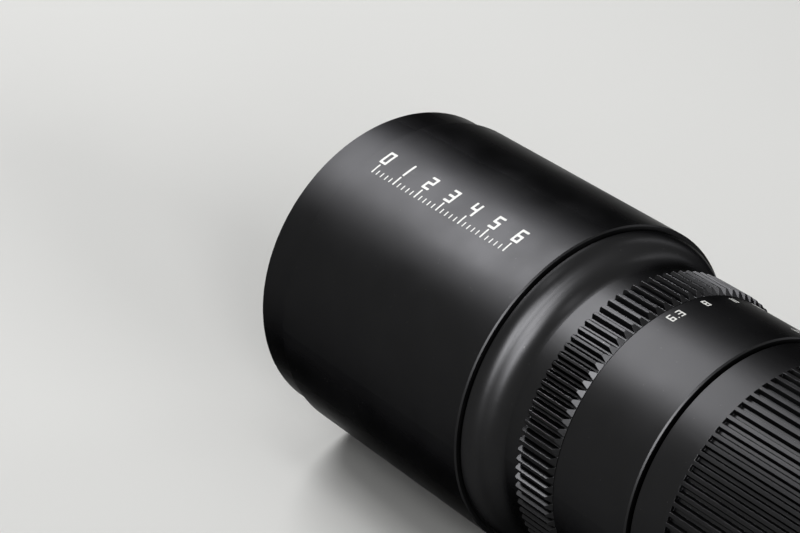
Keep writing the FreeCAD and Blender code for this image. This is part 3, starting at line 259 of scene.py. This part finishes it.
# What each piece of the lens is finished in.
blades = [f"iris_blade_{number:02d}" for number in range(1, 11)]
wearers = {
    "blastedAnodising": ["hood_sleeve", "front_ring", "objective_barrel", "main_barrel", "tail_cone",
                         "tripod_collar", "tripod_foot", "mount_ring"],
    "lappedAnodising": ["shoulder_housing"],
    "milledAnodising": ["aperture_ring", "lock_knob"],
    "turnedAnodising": ["number_band", "focus_ring", "helicoid_carriage", "guide_tube", "rear_cell",
                        "cell_retaining_ring", "rear_retaining_ring"],
    "dullAnodising": ["lens_cell", "element_spacer", "front_baffle", "iris_housing", "iris_drive_ring",
                      "iris_retainer", "focus_retainer", "rear_spacer"],
    "turnedBrass": ["helicoid_nut", "lock_pad"],
    "groundSteel": ["focus_key"],
    "blackOxideSteel": ["link_screw", "foot_screw_front", "foot_screw_rear"],
    "blackenedSpringSteel": blades,
    "blackFelt": ["felt_band"],
    "frontGlass": ["front_element", "second_element"],
    "rearGlass": ["third_element", "fourth_element"],
}
for finish, names in wearers.items():
    for name in names:
        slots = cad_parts[name].data.materials
        slots.clear()
        slots.append(finishes[finish])


def addPiece(name, mesh, finish, body):  # a mesh made here, on the body that carries it
    piece = bpy.data.objects.new(name, mesh)
    bpy.context.scene.collection.objects.link(piece)
    mesh.materials.append(finishes[finish])
    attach(piece, body)
    return piece


def closedMesh(name, vertices, faces, sharpAngle):  # smooth, facing outwards, sharp above this many degrees
    mesh = bpy.data.meshes.new(name)
    mesh.from_pydata(vertices, [], faces)
    work = bmesh.new()
    work.from_mesh(mesh)
    bmesh.ops.recalc_face_normals(work, faces=work.faces)
    work.to_mesh(mesh)
    work.free()
    mesh.shade_smooth()
    mesh.set_sharp_from_angle(angle=math.radians(sharpAngle))
    return mesh


thread = {"rowsPerTurn": 6, "runOut": 0.5, "flank": 2.7, "crest": 0.35}   # runOut is in turns


# A row of a turned outline is (radius, station, cut): the cut is how deep the thread's groove is there.
def threadRows(radius, start, end, pitch, depth):
    count = round(abs(end - start) / pitch * thread["rowsPerTurn"])
    rows = []
    for index in range(count + 1):
        station = start + (end - start) * index / count
        lead = min(index, count - index) / thread["rowsPerTurn"]   # turns from the nearer end
        rows.append((radius, station, depth * min(1.0, lead / thread["runOut"])))
    return rows


def threadGroove(phase):  # 0 on the crest's flat, 1 at the root, a straight flank on each side
    return min(1.0, max(0.0, abs(phase - 0.5) * thread["flank"] - thread["crest"]))


# A ring turned round the optical axis: its rows go once round the outline and close on the first.
def turnedMesh(name, rows, pitch=1.0, columns=256, sharpAngle=30, seam=0.0):
    vertices = []
    for radius, station, cut in rows:
        for column in range(columns):
            if seam:  # a strip whose ends meet at the bottom with this many degrees between them
                angle = math.pi + math.radians(seam / 2) + math.radians(360 - seam) * column / (columns - 1)
            else:
                angle = math.tau * column / columns
            phase = (station / pitch - column / columns) % 1
            reach = radius + cut * threadGroove(phase)
            vertices.append((reach * math.sin(angle) * millimetre, station * millimetre,
                             reach * math.cos(angle) * millimetre))
    faces = []
    for row in range(len(rows)):
        below = row * columns
        above = (row + 1) % len(rows) * columns
        for column in range(columns - 1 if seam else columns):
            after = (column + 1) % columns
            faces.append((below + column, below + after, above + after, above + column))
    if seam:
        for column in (0, columns - 1):
            faces.append(tuple(row * columns + column for row in range(len(rows))))
    return closedMesh(name, vertices, faces, sharpAngle)


print("threads")
mountRing = {"bore": 19.0, "spigot": 24.4, "flange": 29.0, "thread": 21.0, "pitch": 0.75, "depth": -0.46,
             "edge": 0.4, "spigotFront": -12.0, "spigotRear": -8.0, "relief": 0.5, "threadFront": 0.6,
             "threadRear": 5.0}
rows = [(mountRing["bore"], mountRing["spigotFront"], 0),
        (mountRing["spigot"], mountRing["spigotFront"], 0),
        (mountRing["spigot"], mountRing["spigotRear"], 0),
        (mountRing["flange"] - mountRing["edge"], mountRing["spigotRear"], 0),
        (mountRing["flange"], mountRing["spigotRear"] + mountRing["edge"], 0),
        (mountRing["flange"], -mountRing["edge"], 0),
        (mountRing["flange"] - mountRing["edge"], 0, 0),
        (mountRing["thread"] - mountRing["relief"], 0, 0),
        (mountRing["thread"] - mountRing["relief"], mountRing["relief"], 0)]
rows += threadRows(mountRing["thread"], mountRing["threadFront"], mountRing["threadRear"] - mountRing["edge"],
                   mountRing["pitch"], mountRing["depth"])
rows += [(mountRing["thread"] - mountRing["edge"], mountRing["threadRear"], 0),
         (mountRing["bore"], mountRing["threadRear"], 0)]
piece = addPiece("camera_thread_ring", turnedMesh("cameraThreadRing", rows, mountRing["pitch"]),
                 "turnedAnodising", "barrel")
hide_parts("mount_ring")

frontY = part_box("front_ring")[0].y / millimetre
frontRing = {"thread": 47.0, "pitch": 1.0, "depth": 0.5, "threadLength": 7.0, "outer": 49.9, "edge": 0.4,
             "feltFront": 14.5, "feltRear": 20.5, "feltFloor": 49.1, "skirtRear": 22.0, "skirtBore": 48.25,
             "flangeRear": 13.0, "trim": 44.0, "trimFront": 9.0}
rows = [(frontRing["thread"] + frontRing["edge"], frontY, 0),
        (frontRing["outer"] - frontRing["edge"], frontY, 0),
        (frontRing["outer"], frontY + frontRing["edge"], 0),
        (frontRing["outer"], frontY + frontRing["feltFront"], 0),
        (frontRing["feltFloor"], frontY + frontRing["feltFront"], 0),
        (frontRing["feltFloor"], frontY + frontRing["feltRear"], 0),
        (frontRing["outer"], frontY + frontRing["feltRear"], 0),
        (frontRing["outer"], frontY + frontRing["skirtRear"], 0),
        (frontRing["skirtBore"], frontY + frontRing["skirtRear"], 0),
        (frontRing["skirtBore"], frontY + frontRing["flangeRear"], 0),
        (frontRing["trim"], frontY + frontRing["flangeRear"], 0),
        (frontRing["trim"], frontY + frontRing["trimFront"], 0)]
rows += threadRows(frontRing["thread"], frontY + frontRing["threadLength"], frontY + frontRing["edge"],
                   frontRing["pitch"], frontRing["depth"])
mesh = turnedMesh("filterThreadRing", rows, frontRing["pitch"], columns=384)
piece = addPiece("filter_thread_ring", mesh, "blastedAnodising", "front_assembly")
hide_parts("front_ring")

# The felt strip lies in the front ring's groove, glued down, with its pile a little uneven above the glue.
felt = {"inner": 49.15, "glued": 0.3, "shoulder": 49.75, "top": 49.99, "start": 14.6, "end": 20.4,
        "round": 0.5, "seam": 0.6, "uneven": 0.05, "tuft": 1.1, "rings": 6}
feltStart = frontY + felt["start"]
feltEnd = frontY + felt["end"]
feltCrown = [feltStart + felt["round"] + (feltEnd - feltStart - 2 * felt["round"]) * index / felt["rings"]
             for index in range(felt["rings"] + 1)]
rows = [(felt["inner"], feltStart, 0), (felt["shoulder"], feltStart, 0)]
rows += [(felt["top"], station, 0) for station in feltCrown]
rows += [(felt["shoulder"], feltEnd, 0), (felt["inner"], feltEnd, 0)]
mesh = turnedMesh("feltStrip", rows, columns=320, sharpAngle=80, seam=felt["seam"])
for vertex in mesh.vertices:
    across = Vector((vertex.co.x, 0, vertex.co.z))
    if across.length > (felt["inner"] + felt["glued"]) * millimetre:
        lump = noise.noise(vertex.co * featureScale(felt["tuft"])) * 0.5 + 0.5
        vertex.co -= across.normalized() * lump * felt["uneven"] * millimetre
piece = addPiece("felt_strip", mesh, "blackFelt", "front_assembly")
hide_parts("felt_band")


# A small turned piece along its own axis. A row is (radius, depth), and a radius may depend on the angle.
# It runs from the middle of one end to the middle of the other.
def spunMesh(name, rows, columns, place, sharpAngle=35, upright=True):
    vertices = [(0, 0, rows[0][1]), (0, 0, rows[-1][1])]
    rings = rows[1:-1]
    for radius, depth in rings:
        for column in range(columns):
            angle = math.tau * column / columns
            reach = radius(angle, depth) if callable(radius) else radius
            vertices.append((reach * math.sin(angle), reach * math.cos(angle), depth))
    faces = []
    last = 2 + (len(rings) - 1) * columns
    for column in range(columns):
        after = (column + 1) % columns
        faces.append((0, 2 + column, 2 + after))
        faces.append((1, last + after, last + column))
        for row in range(len(rings) - 1):
            below = 2 + row * columns
            faces.append((below + column, below + columns + column, below + columns + after, below + after))
    if not upright:  # along the optical axis instead
        vertices = [(x, z, y) for x, y, z in vertices]
    placed = [(Vector(vertex) + Vector(place)) * millimetre for vertex in vertices]
    return closedMesh(name, placed, faces, sharpAngle)


print("glass")
# Each element has two faces ground to true spheres, a flat seat round each and a small chamfer at the edge.
# A face is (radius of its sphere, station of its seat, bulge), and the bulge is -1 where the face is hollow.
glassElements = {
    "front_element": {"edge": 43.0, "seat": 41.5,
                      "front": (190.0, -331.483, 1), "rear": (175.0, -328.583, 1)},
    "second_element": {"edge": 43.0, "seat": 41.5,
                       "front": (175.0, -327.383, -1), "rear": (420.0, -320.983, 1)},
    "third_element": {"edge": 20.0, "seat": 18.8,
                      "front": (95.0, -86.6, -1), "rear": (120.0, -81.6, -1)},
    "fourth_element": {"edge": 20.0, "seat": 18.8,
                       "front": (70.0, -77.0, 1), "rear": (180.0, -74.0, 1)},
}
glassChamfer = 0.25
glassRings = 40           # from the middle of a face to its seat
glassColumns = 160
glassSharp = 15           # degrees; the seats and chamfers stay crisp


def sphereRows(seat, curve, station, bulge, forward):  # from the middle of the face out to its seat
    full = curve - math.sqrt(curve * curve - seat * seat)
    rows = []
    for ring in range(glassRings + 1):
        radius = seat * ring / glassRings
        depth = curve - math.sqrt(curve * curve - radius * radius)
        rows.append((radius, station + forward * bulge * (full - depth)))
    return rows


for node, shape in glassElements.items():
    front = sphereRows(shape["seat"], *shape["front"], -1)
    rear = sphereRows(shape["seat"], *shape["rear"], 1)
    frontSeat = shape["front"][1]
    rearSeat = shape["rear"][1]
    rows = front + [(shape["edge"] - glassChamfer, frontSeat), (shape["edge"], frontSeat + glassChamfer),
                    (shape["edge"], rearSeat - glassChamfer), (shape["edge"] - glassChamfer, rearSeat)]
    rows += rear[::-1]
    wide = node in wearers["frontGlass"]
    mesh = spunMesh(node, rows, glassColumns, (0, 0, 0), glassSharp, upright=False)
    piece = addPiece("polished_" + node, mesh, "frontGlass" if wide else "rearGlass",
                     "front_assembly" if wide else "barrel")
    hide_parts(node)

print("screws and bush")
# Socket head screws of the foot: hexagon socket, knurled head and rolled thread.
# Depths count up from the head's face, and the socket ends in the cone of its drill.
footScrew = {"key": 1.25, "keyDepth": 1.6, "drillCone": 0.35, "keyFlare": 0.08, "keyFlareDepth": 0.12,
             "head": 2.75, "headLength": 3.0, "rim": 0.3, "rimRound": 0.3, "knurl": 0.09, "knurls": 72,
             "knurlStart": 0.15, "knurlEnd": 0.3, "underHead": 0.1, "shank": 1.5, "neck": 0.5, "end": 7.8,
             "tip": 0.3, "tipTaper": 0.35, "pitch": 0.5, "threadDepth": 0.27, "face": -50.7,
             "stations": (-106.0, -90.0)}


def hexagon(angle, depth):
    return footScrew["key"] / math.cos((angle % (math.pi / 3)) - math.pi / 6)


def knurled(angle, depth):
    return footScrew["head"] - footScrew["knurl"] * (round(angle / math.tau * footScrew["knurls"]) % 2)


def screwThread(angle, depth):
    phase = (depth / footScrew["pitch"] - angle / math.tau) % 1
    return footScrew["shank"] - footScrew["threadDepth"] * threadGroove(phase)


def footScrewRows():
    screw = footScrew
    rows = [(0, screw["keyDepth"] + screw["drillCone"]),
            (hexagon, screw["keyDepth"]),
            (hexagon, screw["keyFlareDepth"]),
            (screw["key"] / math.cos(math.pi / 6) + screw["keyFlare"], 0),
            (screw["head"] - screw["rim"], 0),
            (screw["head"] - screw["rim"] * screw["rimRound"], screw["rim"] * screw["rimRound"]),
            (screw["head"], screw["rim"]),
            (knurled, screw["rim"] + screw["knurlStart"]),
            (knurled, screw["headLength"] - screw["knurlEnd"]),
            (screw["head"] - screw["underHead"], screw["headLength"]),
            (screw["shank"], screw["headLength"])]
    start = screw["headLength"] + screw["neck"]
    length = screw["end"] - screw["tip"] - start
    steps = round(length / screw["pitch"] * thread["rowsPerTurn"])
    rows += [(screwThread, start + length * step / steps) for step in range(steps + 1)]
    return rows + [(screw["shank"] - screw["tipTaper"], screw["end"]), (0, screw["end"])]


for number, station in enumerate(footScrew["stations"]):
    place = (0, station, footScrew["face"])
    mesh = spunMesh(f"footScrew{number + 1}", footScrewRows(), footScrew["knurls"], place)
    piece = addPiece(f"foot_socket_screw_{number + 1}", mesh, "blackOxideSteel", "tripod_collar")
    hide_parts(("foot_screw_front", "foot_screw_rear")[number])

# Link screw: a headless screw with a driver slot at its outer end.
linkScrew = {"radius": 1.4, "bodyDepth": 1.7, "dog": 1.2, "tip": 0.2, "face": -43.4, "end": -37.5,
             "station": -226.2125, "slotWidth": 0.5, "slotDepth": 0.7, "overlap": 0.02, "columns": 48,
             "slotSteps": 16}
length = linkScrew["end"] - linkScrew["face"]
rows = [(0, linkScrew["slotDepth"]), (linkScrew["radius"], linkScrew["slotDepth"]),
        (linkScrew["radius"], linkScrew["bodyDepth"]), (linkScrew["dog"], linkScrew["bodyDepth"]),
        (linkScrew["dog"], length - linkScrew["tip"]), (linkScrew["dog"] - linkScrew["tip"], length),
        (0, length)]
mesh = spunMesh("linkScrew", rows, linkScrew["columns"], (0, linkScrew["station"], linkScrew["face"]))
work = bmesh.new()
work.from_mesh(mesh)
# The two halves of the head stand up on each side of the slot.
slotAngle = math.asin(linkScrew["slotWidth"] / 2 / linkScrew["radius"])
for side in (0, math.pi):
    outline = []
    for step in range(linkScrew["slotSteps"] + 1):
        angle = side + slotAngle + (math.pi - 2 * slotAngle) * step / linkScrew["slotSteps"]
        outline.append(work.verts.new((Vector((linkScrew["radius"] * math.sin(angle),
                                               linkScrew["radius"] * math.cos(angle) + linkScrew["station"],
                                               linkScrew["face"])) * millimetre)))
    half = work.faces.new(outline)
    raised = bmesh.ops.extrude_face_region(work, geom=[half])["geom"]
    bmesh.ops.translate(work, verts=[item for item in raised if isinstance(item, bmesh.types.BMVert)],
                        vec=(0, 0, (linkScrew["slotDepth"] + linkScrew["overlap"]) * millimetre))
bmesh.ops.recalc_face_normals(work, faces=work.faces)
work.to_mesh(mesh)
work.free()
piece = addPiece("link_slotted_screw", mesh, "blackOxideSteel", "aperture_ring")
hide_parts("link_screw")

# Threaded steel bush pressed into the tripod socket, quarter inch with 20 turns to the inch.
bush = {"outer": 3.17, "thread": 2.66, "pitch": 1.27, "depth": 0.46, "mouth": 0.03, "lip": 0.06,
        "lead": 0.55, "end": 8.5, "edge": 0.1, "station": -98.0, "face": -51.0, "columns": 96,
        "sharpAngle": 25}
rows = [(bush["outer"], bush["mouth"], 0), (bush["outer"], bush["end"], 0), (bush["thread"], bush["end"], 0)]
rows += threadRows(bush["thread"], bush["end"] - bush["edge"], bush["lead"], bush["pitch"], bush["depth"])
rows += [(bush["outer"] - bush["lip"], bush["mouth"], 0)]
mesh = turnedMesh("tripodBush", rows, bush["pitch"], bush["columns"], bush["sharpAngle"])
mesh.transform(Matrix.Translation((0, bush["station"] * millimetre, bush["face"] * millimetre))
               @ Matrix.Rotation(math.pi / 2, 4, "X"))
addPiece("tripod_bush", mesh, "groundSteel", "tripod_collar")


def digitBars(digit, width, height, stroke):  # the bars of a squared digit, as (left, bottom, right, top)
    low = (height - stroke) / 2
    high = (height + stroke) / 2
    bars = {
        "a": (0, height - stroke, width, height), "g": (0, low, width, high), "d": (0, 0, width, stroke),
        "f": (0, low, stroke, height), "e": (0, 0, stroke, high),
        "b": (width - stroke, low, width, height), "c": (width - stroke, 0, width, high),
    }
    used = {"0": "abcdef", "1": "bc", "2": "abged", "3": "abgcd", "4": "fgbc", "5": "afgcd", "6": "afgedc",
            "8": "abcdefg"}[digit]
    return [bars[letter] for letter in used]


def textBars(text, scale):  # the bars of a number, centred on its middle
    height = scale["height"]
    stroke = scale["stroke"]
    bars = []
    cursor = 0.0
    for digit in text:
        if digit == ".":
            bars.append((cursor, 0, cursor + stroke, stroke))
            cursor += stroke + scale["gap"]
        elif digit == "1":
            bars.append((cursor, 0, cursor + stroke, height))
            cursor += stroke + scale["gap"]
        else:
            bars += [(left + cursor, bottom, right + cursor, top)
                     for left, bottom, right, top in digitBars(digit, scale["width"], height, stroke)]
            cursor += scale["width"] + scale["gap"]
    shift = (cursor - scale["gap"]) / 2
    return [(left - shift, bottom - height / 2, right - shift, top - height / 2)
            for left, bottom, right, top in bars]


def infinityBars(scale):  # two joined loops, squared like the digits
    wide = scale["width"]
    thick = scale["stroke"]
    low = wide / 2
    return [(-wide, -low, wide, thick - low), (-wide, low - thick, wide, low),
            (-wide, -low, thick - wide, low), (wide - thick, -low, wide, low),
            (-thick / 2, -low, thick / 2, low)]


def lineBar(stroke, length):
    return [(-stroke / 2, -length / 2, stroke / 2, length / 2)]


# Print bars on a barrel. They are joined into one skin on a lattice, given thickness and rounded corners,
# and then wrapped: "round" reads round the barrel with its top to the front, "along" reads along the axis.
# The corner is a share of the stroke, and goes on edges that turn by more than cornerTurn, in radians.
ink = {"proud": 0.02, "sunk": 0.05, "cell": 1.2, "corner": 0.3, "cornerTurn": 1}


def lattice(ends):  # all the ends of the bars in one direction, with lines between them no wider than a cell
    lines = sorted(set(round(value, 4) for value in ends))
    filled = []
    for start, end in zip(lines, lines[1:]):
        pieces = max(1, math.ceil((end - start) / ink["cell"]))
        filled += [start + (end - start) * index / pieces for index in range(pieces)]
    return filled + [lines[-1]]


def inkFaces(work, bars):  # the flat skin of the bars, with its corners
    columns = lattice([bar[0] for bar in bars] + [bar[2] for bar in bars])
    rowsUp = lattice([bar[1] for bar in bars] + [bar[3] for bar in bars])
    corners = {}

    def corner(column, row):
        if (column, row) not in corners:
            corners[column, row] = work.verts.new((columns[column], rowsUp[row], 0))
        return corners[column, row]

    faces = []
    for column in range(len(columns) - 1):
        for row in range(len(rowsUp) - 1):
            middleX = (columns[column] + columns[column + 1]) / 2
            middleY = (rowsUp[row] + rowsUp[row + 1]) / 2
            if any(bar[0] < middleX < bar[2] and bar[1] < middleY < bar[3] for bar in bars):
                faces.append(work.faces.new((corner(column, row), corner(column + 1, row),
                                             corner(column + 1, row + 1), corner(column, row + 1))))
    return faces, set(corners.values())


def inkSkin(work, bars):  # the same skin with its thickness and round corners, still flat
    faces, fresh = inkFaces(work, bars)
    thickness = ink["proud"] + ink["sunk"]
    raised = bmesh.ops.extrude_face_region(work, geom=faces)["geom"]
    tops = [item for item in raised if isinstance(item, bmesh.types.BMVert)]
    bmesh.ops.translate(work, verts=tops, vec=(0, 0, thickness))
    bmesh.ops.recalc_face_normals(work, faces=work.faces)
    fresh |= set(tops)
    upright = [edge for edge in work.edges
               if edge.verts[0] in fresh and edge.verts[1] in fresh and edge.is_manifold
               and abs(edge.verts[0].co.z - edge.verts[1].co.z) > thickness / 2
               and edge.calc_face_angle() > ink["cornerTurn"]]
    stroke = min(min(bar[2] - bar[0], bar[3] - bar[1]) for bar in bars)
    made = bmesh.ops.bevel(work, geom=upright, offset=stroke * ink["corner"], segments=3, profile=0.5,
                           affect="EDGES", clamp_overlap=True)
    return {vertex for vertex in fresh if vertex.is_valid} | set(made["verts"])


def printMarks(name, marks, radius, body, reading="round"):
    work = bmesh.new()
    for bars, angle, station in marks:
        for vertex in inkSkin(work, bars):
            across, up, lift = vertex.co
            if reading == "round":
                turn, backward = across, -up
            else:
                turn, backward = up, across
            reach = radius - ink["sunk"] + lift
            around = math.radians(angle) - turn / radius
            vertex.co = (reach * math.sin(around) * millimetre, (station + backward) * millimetre,
                         reach * math.cos(around) * millimetre)
    mesh = bpy.data.meshes.new(name)
    work.to_mesh(mesh)
    work.free()
    return addPiece(name, mesh, "whiteInk", body)


print("printed marks")
# Aperture numbers on the fixed band, one every 14.5 degrees, which is one stop of the ring's travel.
apertureScale = {"numbers": ["6.3", "8", "11", "16", "22", "32"], "firstAngle": 6.6, "step": -14.5,
                 "height": 3.0, "stroke": 0.42, "width": 1.65, "gap": 0.6, "station": -219.8, "radius": 43.7}
marks = []
for index, number in enumerate(apertureScale["numbers"]):
    angle = apertureScale["firstAngle"] + index * apertureScale["step"]
    marks.append((textBars(number, apertureScale), angle, apertureScale["station"]))
printMarks("aperture_numbers", marks, apertureScale["radius"], "front_assembly")

# A pair of short lines at the band's rear edge is the index for the focus ring.
focusIndex = {"angle": -30.0, "front": -202.0, "rear": -199.0, "apart": 2.2, "stroke": 0.5, "radius": 43.7}
half = focusIndex["apart"] / 2
length = (focusIndex["rear"] - focusIndex["front"]) / 2
bars = [(side * half - focusIndex["stroke"] / 2, -length, side * half + focusIndex["stroke"] / 2, length)
        for side in (-1, 1)]
printMarks("focus_index", [(bars, focusIndex["angle"], (focusIndex["front"] + focusIndex["rear"]) / 2)],
           focusIndex["radius"], "front_assembly")

# Distance numbers on the focus ring's bare band, from infinity (drawn as two joined loops) down.
distanceScale = {"numbers": {"infinity": -30.0, "100": -59.0, "50": -89.0, "30": -129.5, "20": -182.0},
                 "height": 2.6, "stroke": 0.38, "width": 1.6, "gap": 0.65, "station": -186.6,
                 "tickStation": -190.9, "tick": 1.8, "radius": 42.7}
marks = []
for number, angle in distanceScale["numbers"].items():
    if number == "infinity":
        bars = infinityBars(distanceScale)
    else:
        bars = textBars(number, distanceScale)
    marks.append((bars, angle, distanceScale["station"]))
    bars = lineBar(distanceScale["stroke"], distanceScale["tick"])
    marks.append((bars, angle, distanceScale["tickStation"]))
printMarks("distance_numbers", marks, distanceScale["radius"], "focus_ring")

# The hood's extension scale: centimetres with two-millimetre ticks, read along the barrel.
hoodScale = {"radius": 51.0, "start": 18.0, "centimetres": 6, "ticks": 5, "tickApart": 2, "tickFoot": 25.6,
             "tall": 3.6, "tallStroke": 0.55, "short": 1.8, "shortStroke": 0.4, "numberAngle": 18.0,
             "height": 5.2, "stroke": 0.8, "width": 3.0, "gap": 1.1}
marks = []
for step in range(hoodScale["centimetres"] * hoodScale["ticks"] + 1):
    station = frontY + hoodScale["start"] + step * hoodScale["tickApart"]
    centimetre, between = divmod(step, hoodScale["ticks"])
    length = hoodScale["short"] if between else hoodScale["tall"]
    half = (hoodScale["shortStroke"] if between else hoodScale["tallStroke"]) / 2
    if not between:
        marks.append((textBars(str(centimetre), hoodScale), hoodScale["numberAngle"], station))
    marks.append(([(-half, 0, half, length)], hoodScale["tickFoot"], station))
printMarks("hood_scale", marks, hoodScale["radius"], "hood", "along")

# Index lines for the tripod collar: one on the collar, one on the tail for each quarter turn.
collarIndex = {"stroke": 0.6, "collarRadius": 43.5, "collar": (-89.6, -86.0), "tailRadius": 43.0,
               "tail": (-83.4, -79.8)}


def indexMark(ends, angle):
    return lineBar(collarIndex["stroke"], ends[1] - ends[0]), angle, (ends[0] + ends[1]) / 2


printMarks("collar_index", [indexMark(collarIndex["collar"], 0.0)], collarIndex["collarRadius"],
           "tripod_collar")
printMarks("quarter_marks", [indexMark(collarIndex["tail"], angle) for angle in (0.0, 90.0, 180.0, 270.0)],
           collarIndex["tailRadius"], "barrel")

print("studio")
# The floor's size, its middle and the fade are in metres, its height in millimetres like the part's.
studio = {"floorSize": 12.0, "floorMiddle": -0.2, "floorZ": -51.03, "fadeStart": 0.42, "fadeEnd": 1.0,
          "floorColours": ("#d8d8d6", "#dededc"), "mottleScale": 3.0, "floorRoughness": 0.8,
          "background": "#dcdcda", "worldStrength": 0.04}
bpy.ops.mesh.primitive_plane_add(size=studio["floorSize"],
                                 location=(0, studio["floorMiddle"], studio["floorZ"] * millimetre))
floor = bpy.context.object
floor.name = "floor"
material, tree = newMaterial("paleFloor")
place = addNode(tree, "TexCoord").outputs["Object"]
mottle = addNode(tree, "TexNoise", {"Vector": place, "Scale": studio["mottleScale"], "Detail": 3.0})
tone = addNode(tree, "Mix", {"Factor": mottle.outputs["Fac"], "A": fromHex(studio["floorColours"][0]),
                             "B": fromHex(studio["floorColours"][1])}, data_type="RGBA")
shader = addNode(tree, "BsdfPrincipled", {"Base Color": tone.outputs["Result"],
                                          "Roughness": studio["floorRoughness"], "Specular IOR Level": 0.0})
# Far from the lens the paper runs out into the pale background.
far = addNode(tree, "VectorMath", {0: place}, operation="LENGTH")
fade = addNode(tree, "MapRange", {"Value": far.outputs["Value"], "From Min": studio["fadeStart"],
                                  "From Max": studio["fadeEnd"]}, interpolation_type="SMOOTHSTEP")
beyond = addNode(tree, "BsdfTransparent")
mixed = addNode(tree, "MixShader", {0: fade.outputs["Result"], 1: shader.outputs["BSDF"],
                                    2: beyond.outputs["BSDF"]})
finishMaterial(tree, mixed.outputs["Shader"])
floor.data.materials.append(material)

world = bpy.data.worlds.new("studioWorld")
world.use_nodes = True
tree = world.node_tree
tree.nodes.clear()
rays = addNode(tree, "LightPath")
lit = addNode(tree, "Background", {"Color": (1, 1, 1, 1), "Strength": studio["worldStrength"]})
seen = addNode(tree, "Background", {"Color": fromHex(studio["background"]), "Strength": 1.0})
mirrored = addNode(tree, "Math", {0: rays.outputs["Is Glossy Ray"], 1: rays.outputs["Is Transmission Ray"]},
                   operation="MAXIMUM")
pale = addNode(tree, "Math", {0: rays.outputs["Is Camera Ray"], 1: mirrored.outputs["Value"]},
               operation="MAXIMUM")
mixed = addNode(tree, "MixShader", {0: pale.outputs["Value"], 1: lit.outputs["Background"],
                                    2: seen.outputs["Background"]})
addNode(tree, "OutputWorld", {"Surface": mixed.outputs["Shader"]})
bpy.context.scene.world = world

# Softboxes: each is a size in metres, a direction from the lens, a distance and a brightness,
# where 1 is white paper. The two cards only soften and lengthen reflections: they add no light to the
# matte surfaces.
lensMiddle = Vector((0, -0.22, 0))
lamps = {
    "keyStrip": {"size": (0.9, 0.26), "towards": (0.0, -0.68, 0.73), "distance": 1.5, "radiance": 21.0},
    "tailBox": {"size": (1.0, 1.0), "towards": (0.0, 0.96, 0.25), "distance": 2.6, "radiance": 17.0},
    "overBox": {"size": (0.8, 0.26), "towards": (0.12, 0.0, 0.99), "distance": 1.5, "radiance": 3.5},
    "shoulderCard": {"size": (1.3, 1.4), "towards": (0.36, 0.83, 0.41), "distance": 1.8, "radiance": 9.0,
                     "onlyReflected": True},
    "sleeveCard": {"size": (1.5, 0.5), "towards": (0.0, -0.71, 0.70), "distance": 1.5, "radiance": 5.0,
                   "onlyReflected": True},
    "rimBox": {"size": (0.3, 0.9), "towards": (-0.92, 0.22, 0.33), "distance": 1.4, "radiance": 2.5},
    "backBox": {"size": (0.28, 0.7), "towards": (0.44, 0.79, 0.43), "distance": 1.6, "radiance": 15.0},
}
for name, lamp in lamps.items():
    light = bpy.data.lights.new(name, "AREA")
    light.shape = "RECTANGLE"
    light.size, light.size_y = lamp["size"]
    light.energy = lamp["radiance"] * math.pi * light.size * light.size_y
    holder = bpy.data.objects.new(name, light)
    away = Vector(lamp["towards"]).normalized()
    holder.location = lensMiddle + away * lamp["distance"]
    holder.visible_diffuse = not lamp.get("onlyReflected", False)
    holder.rotation_mode = "QUATERNION"
    holder.rotation_quaternion = away.to_track_quat("Z", "Y")
    bpy.context.scene.collection.objects.link(holder)

# The photograph's view: a long lens held without roll, looking down and towards the front end.
view = {"place": (0.43626, 0.21851, 0.40171), "forward": (-0.53244, -0.69012, -0.49015), "lens": 119.25}
cameraData = bpy.data.cameras.new("camera")
cameraData.lens = view["lens"]
cameraData.sensor_width = 36
camera = bpy.data.objects.new("camera", cameraData)
camera.location = view["place"]
camera.rotation_mode = "QUATERNION"
camera.rotation_quaternion = Vector(view["forward"]).to_track_quat("-Z", "Y")
bpy.context.scene.collection.objects.link(camera)
bpy.context.scene.camera = camera
bpy.context.scene.view_settings.view_transform = "Standard"
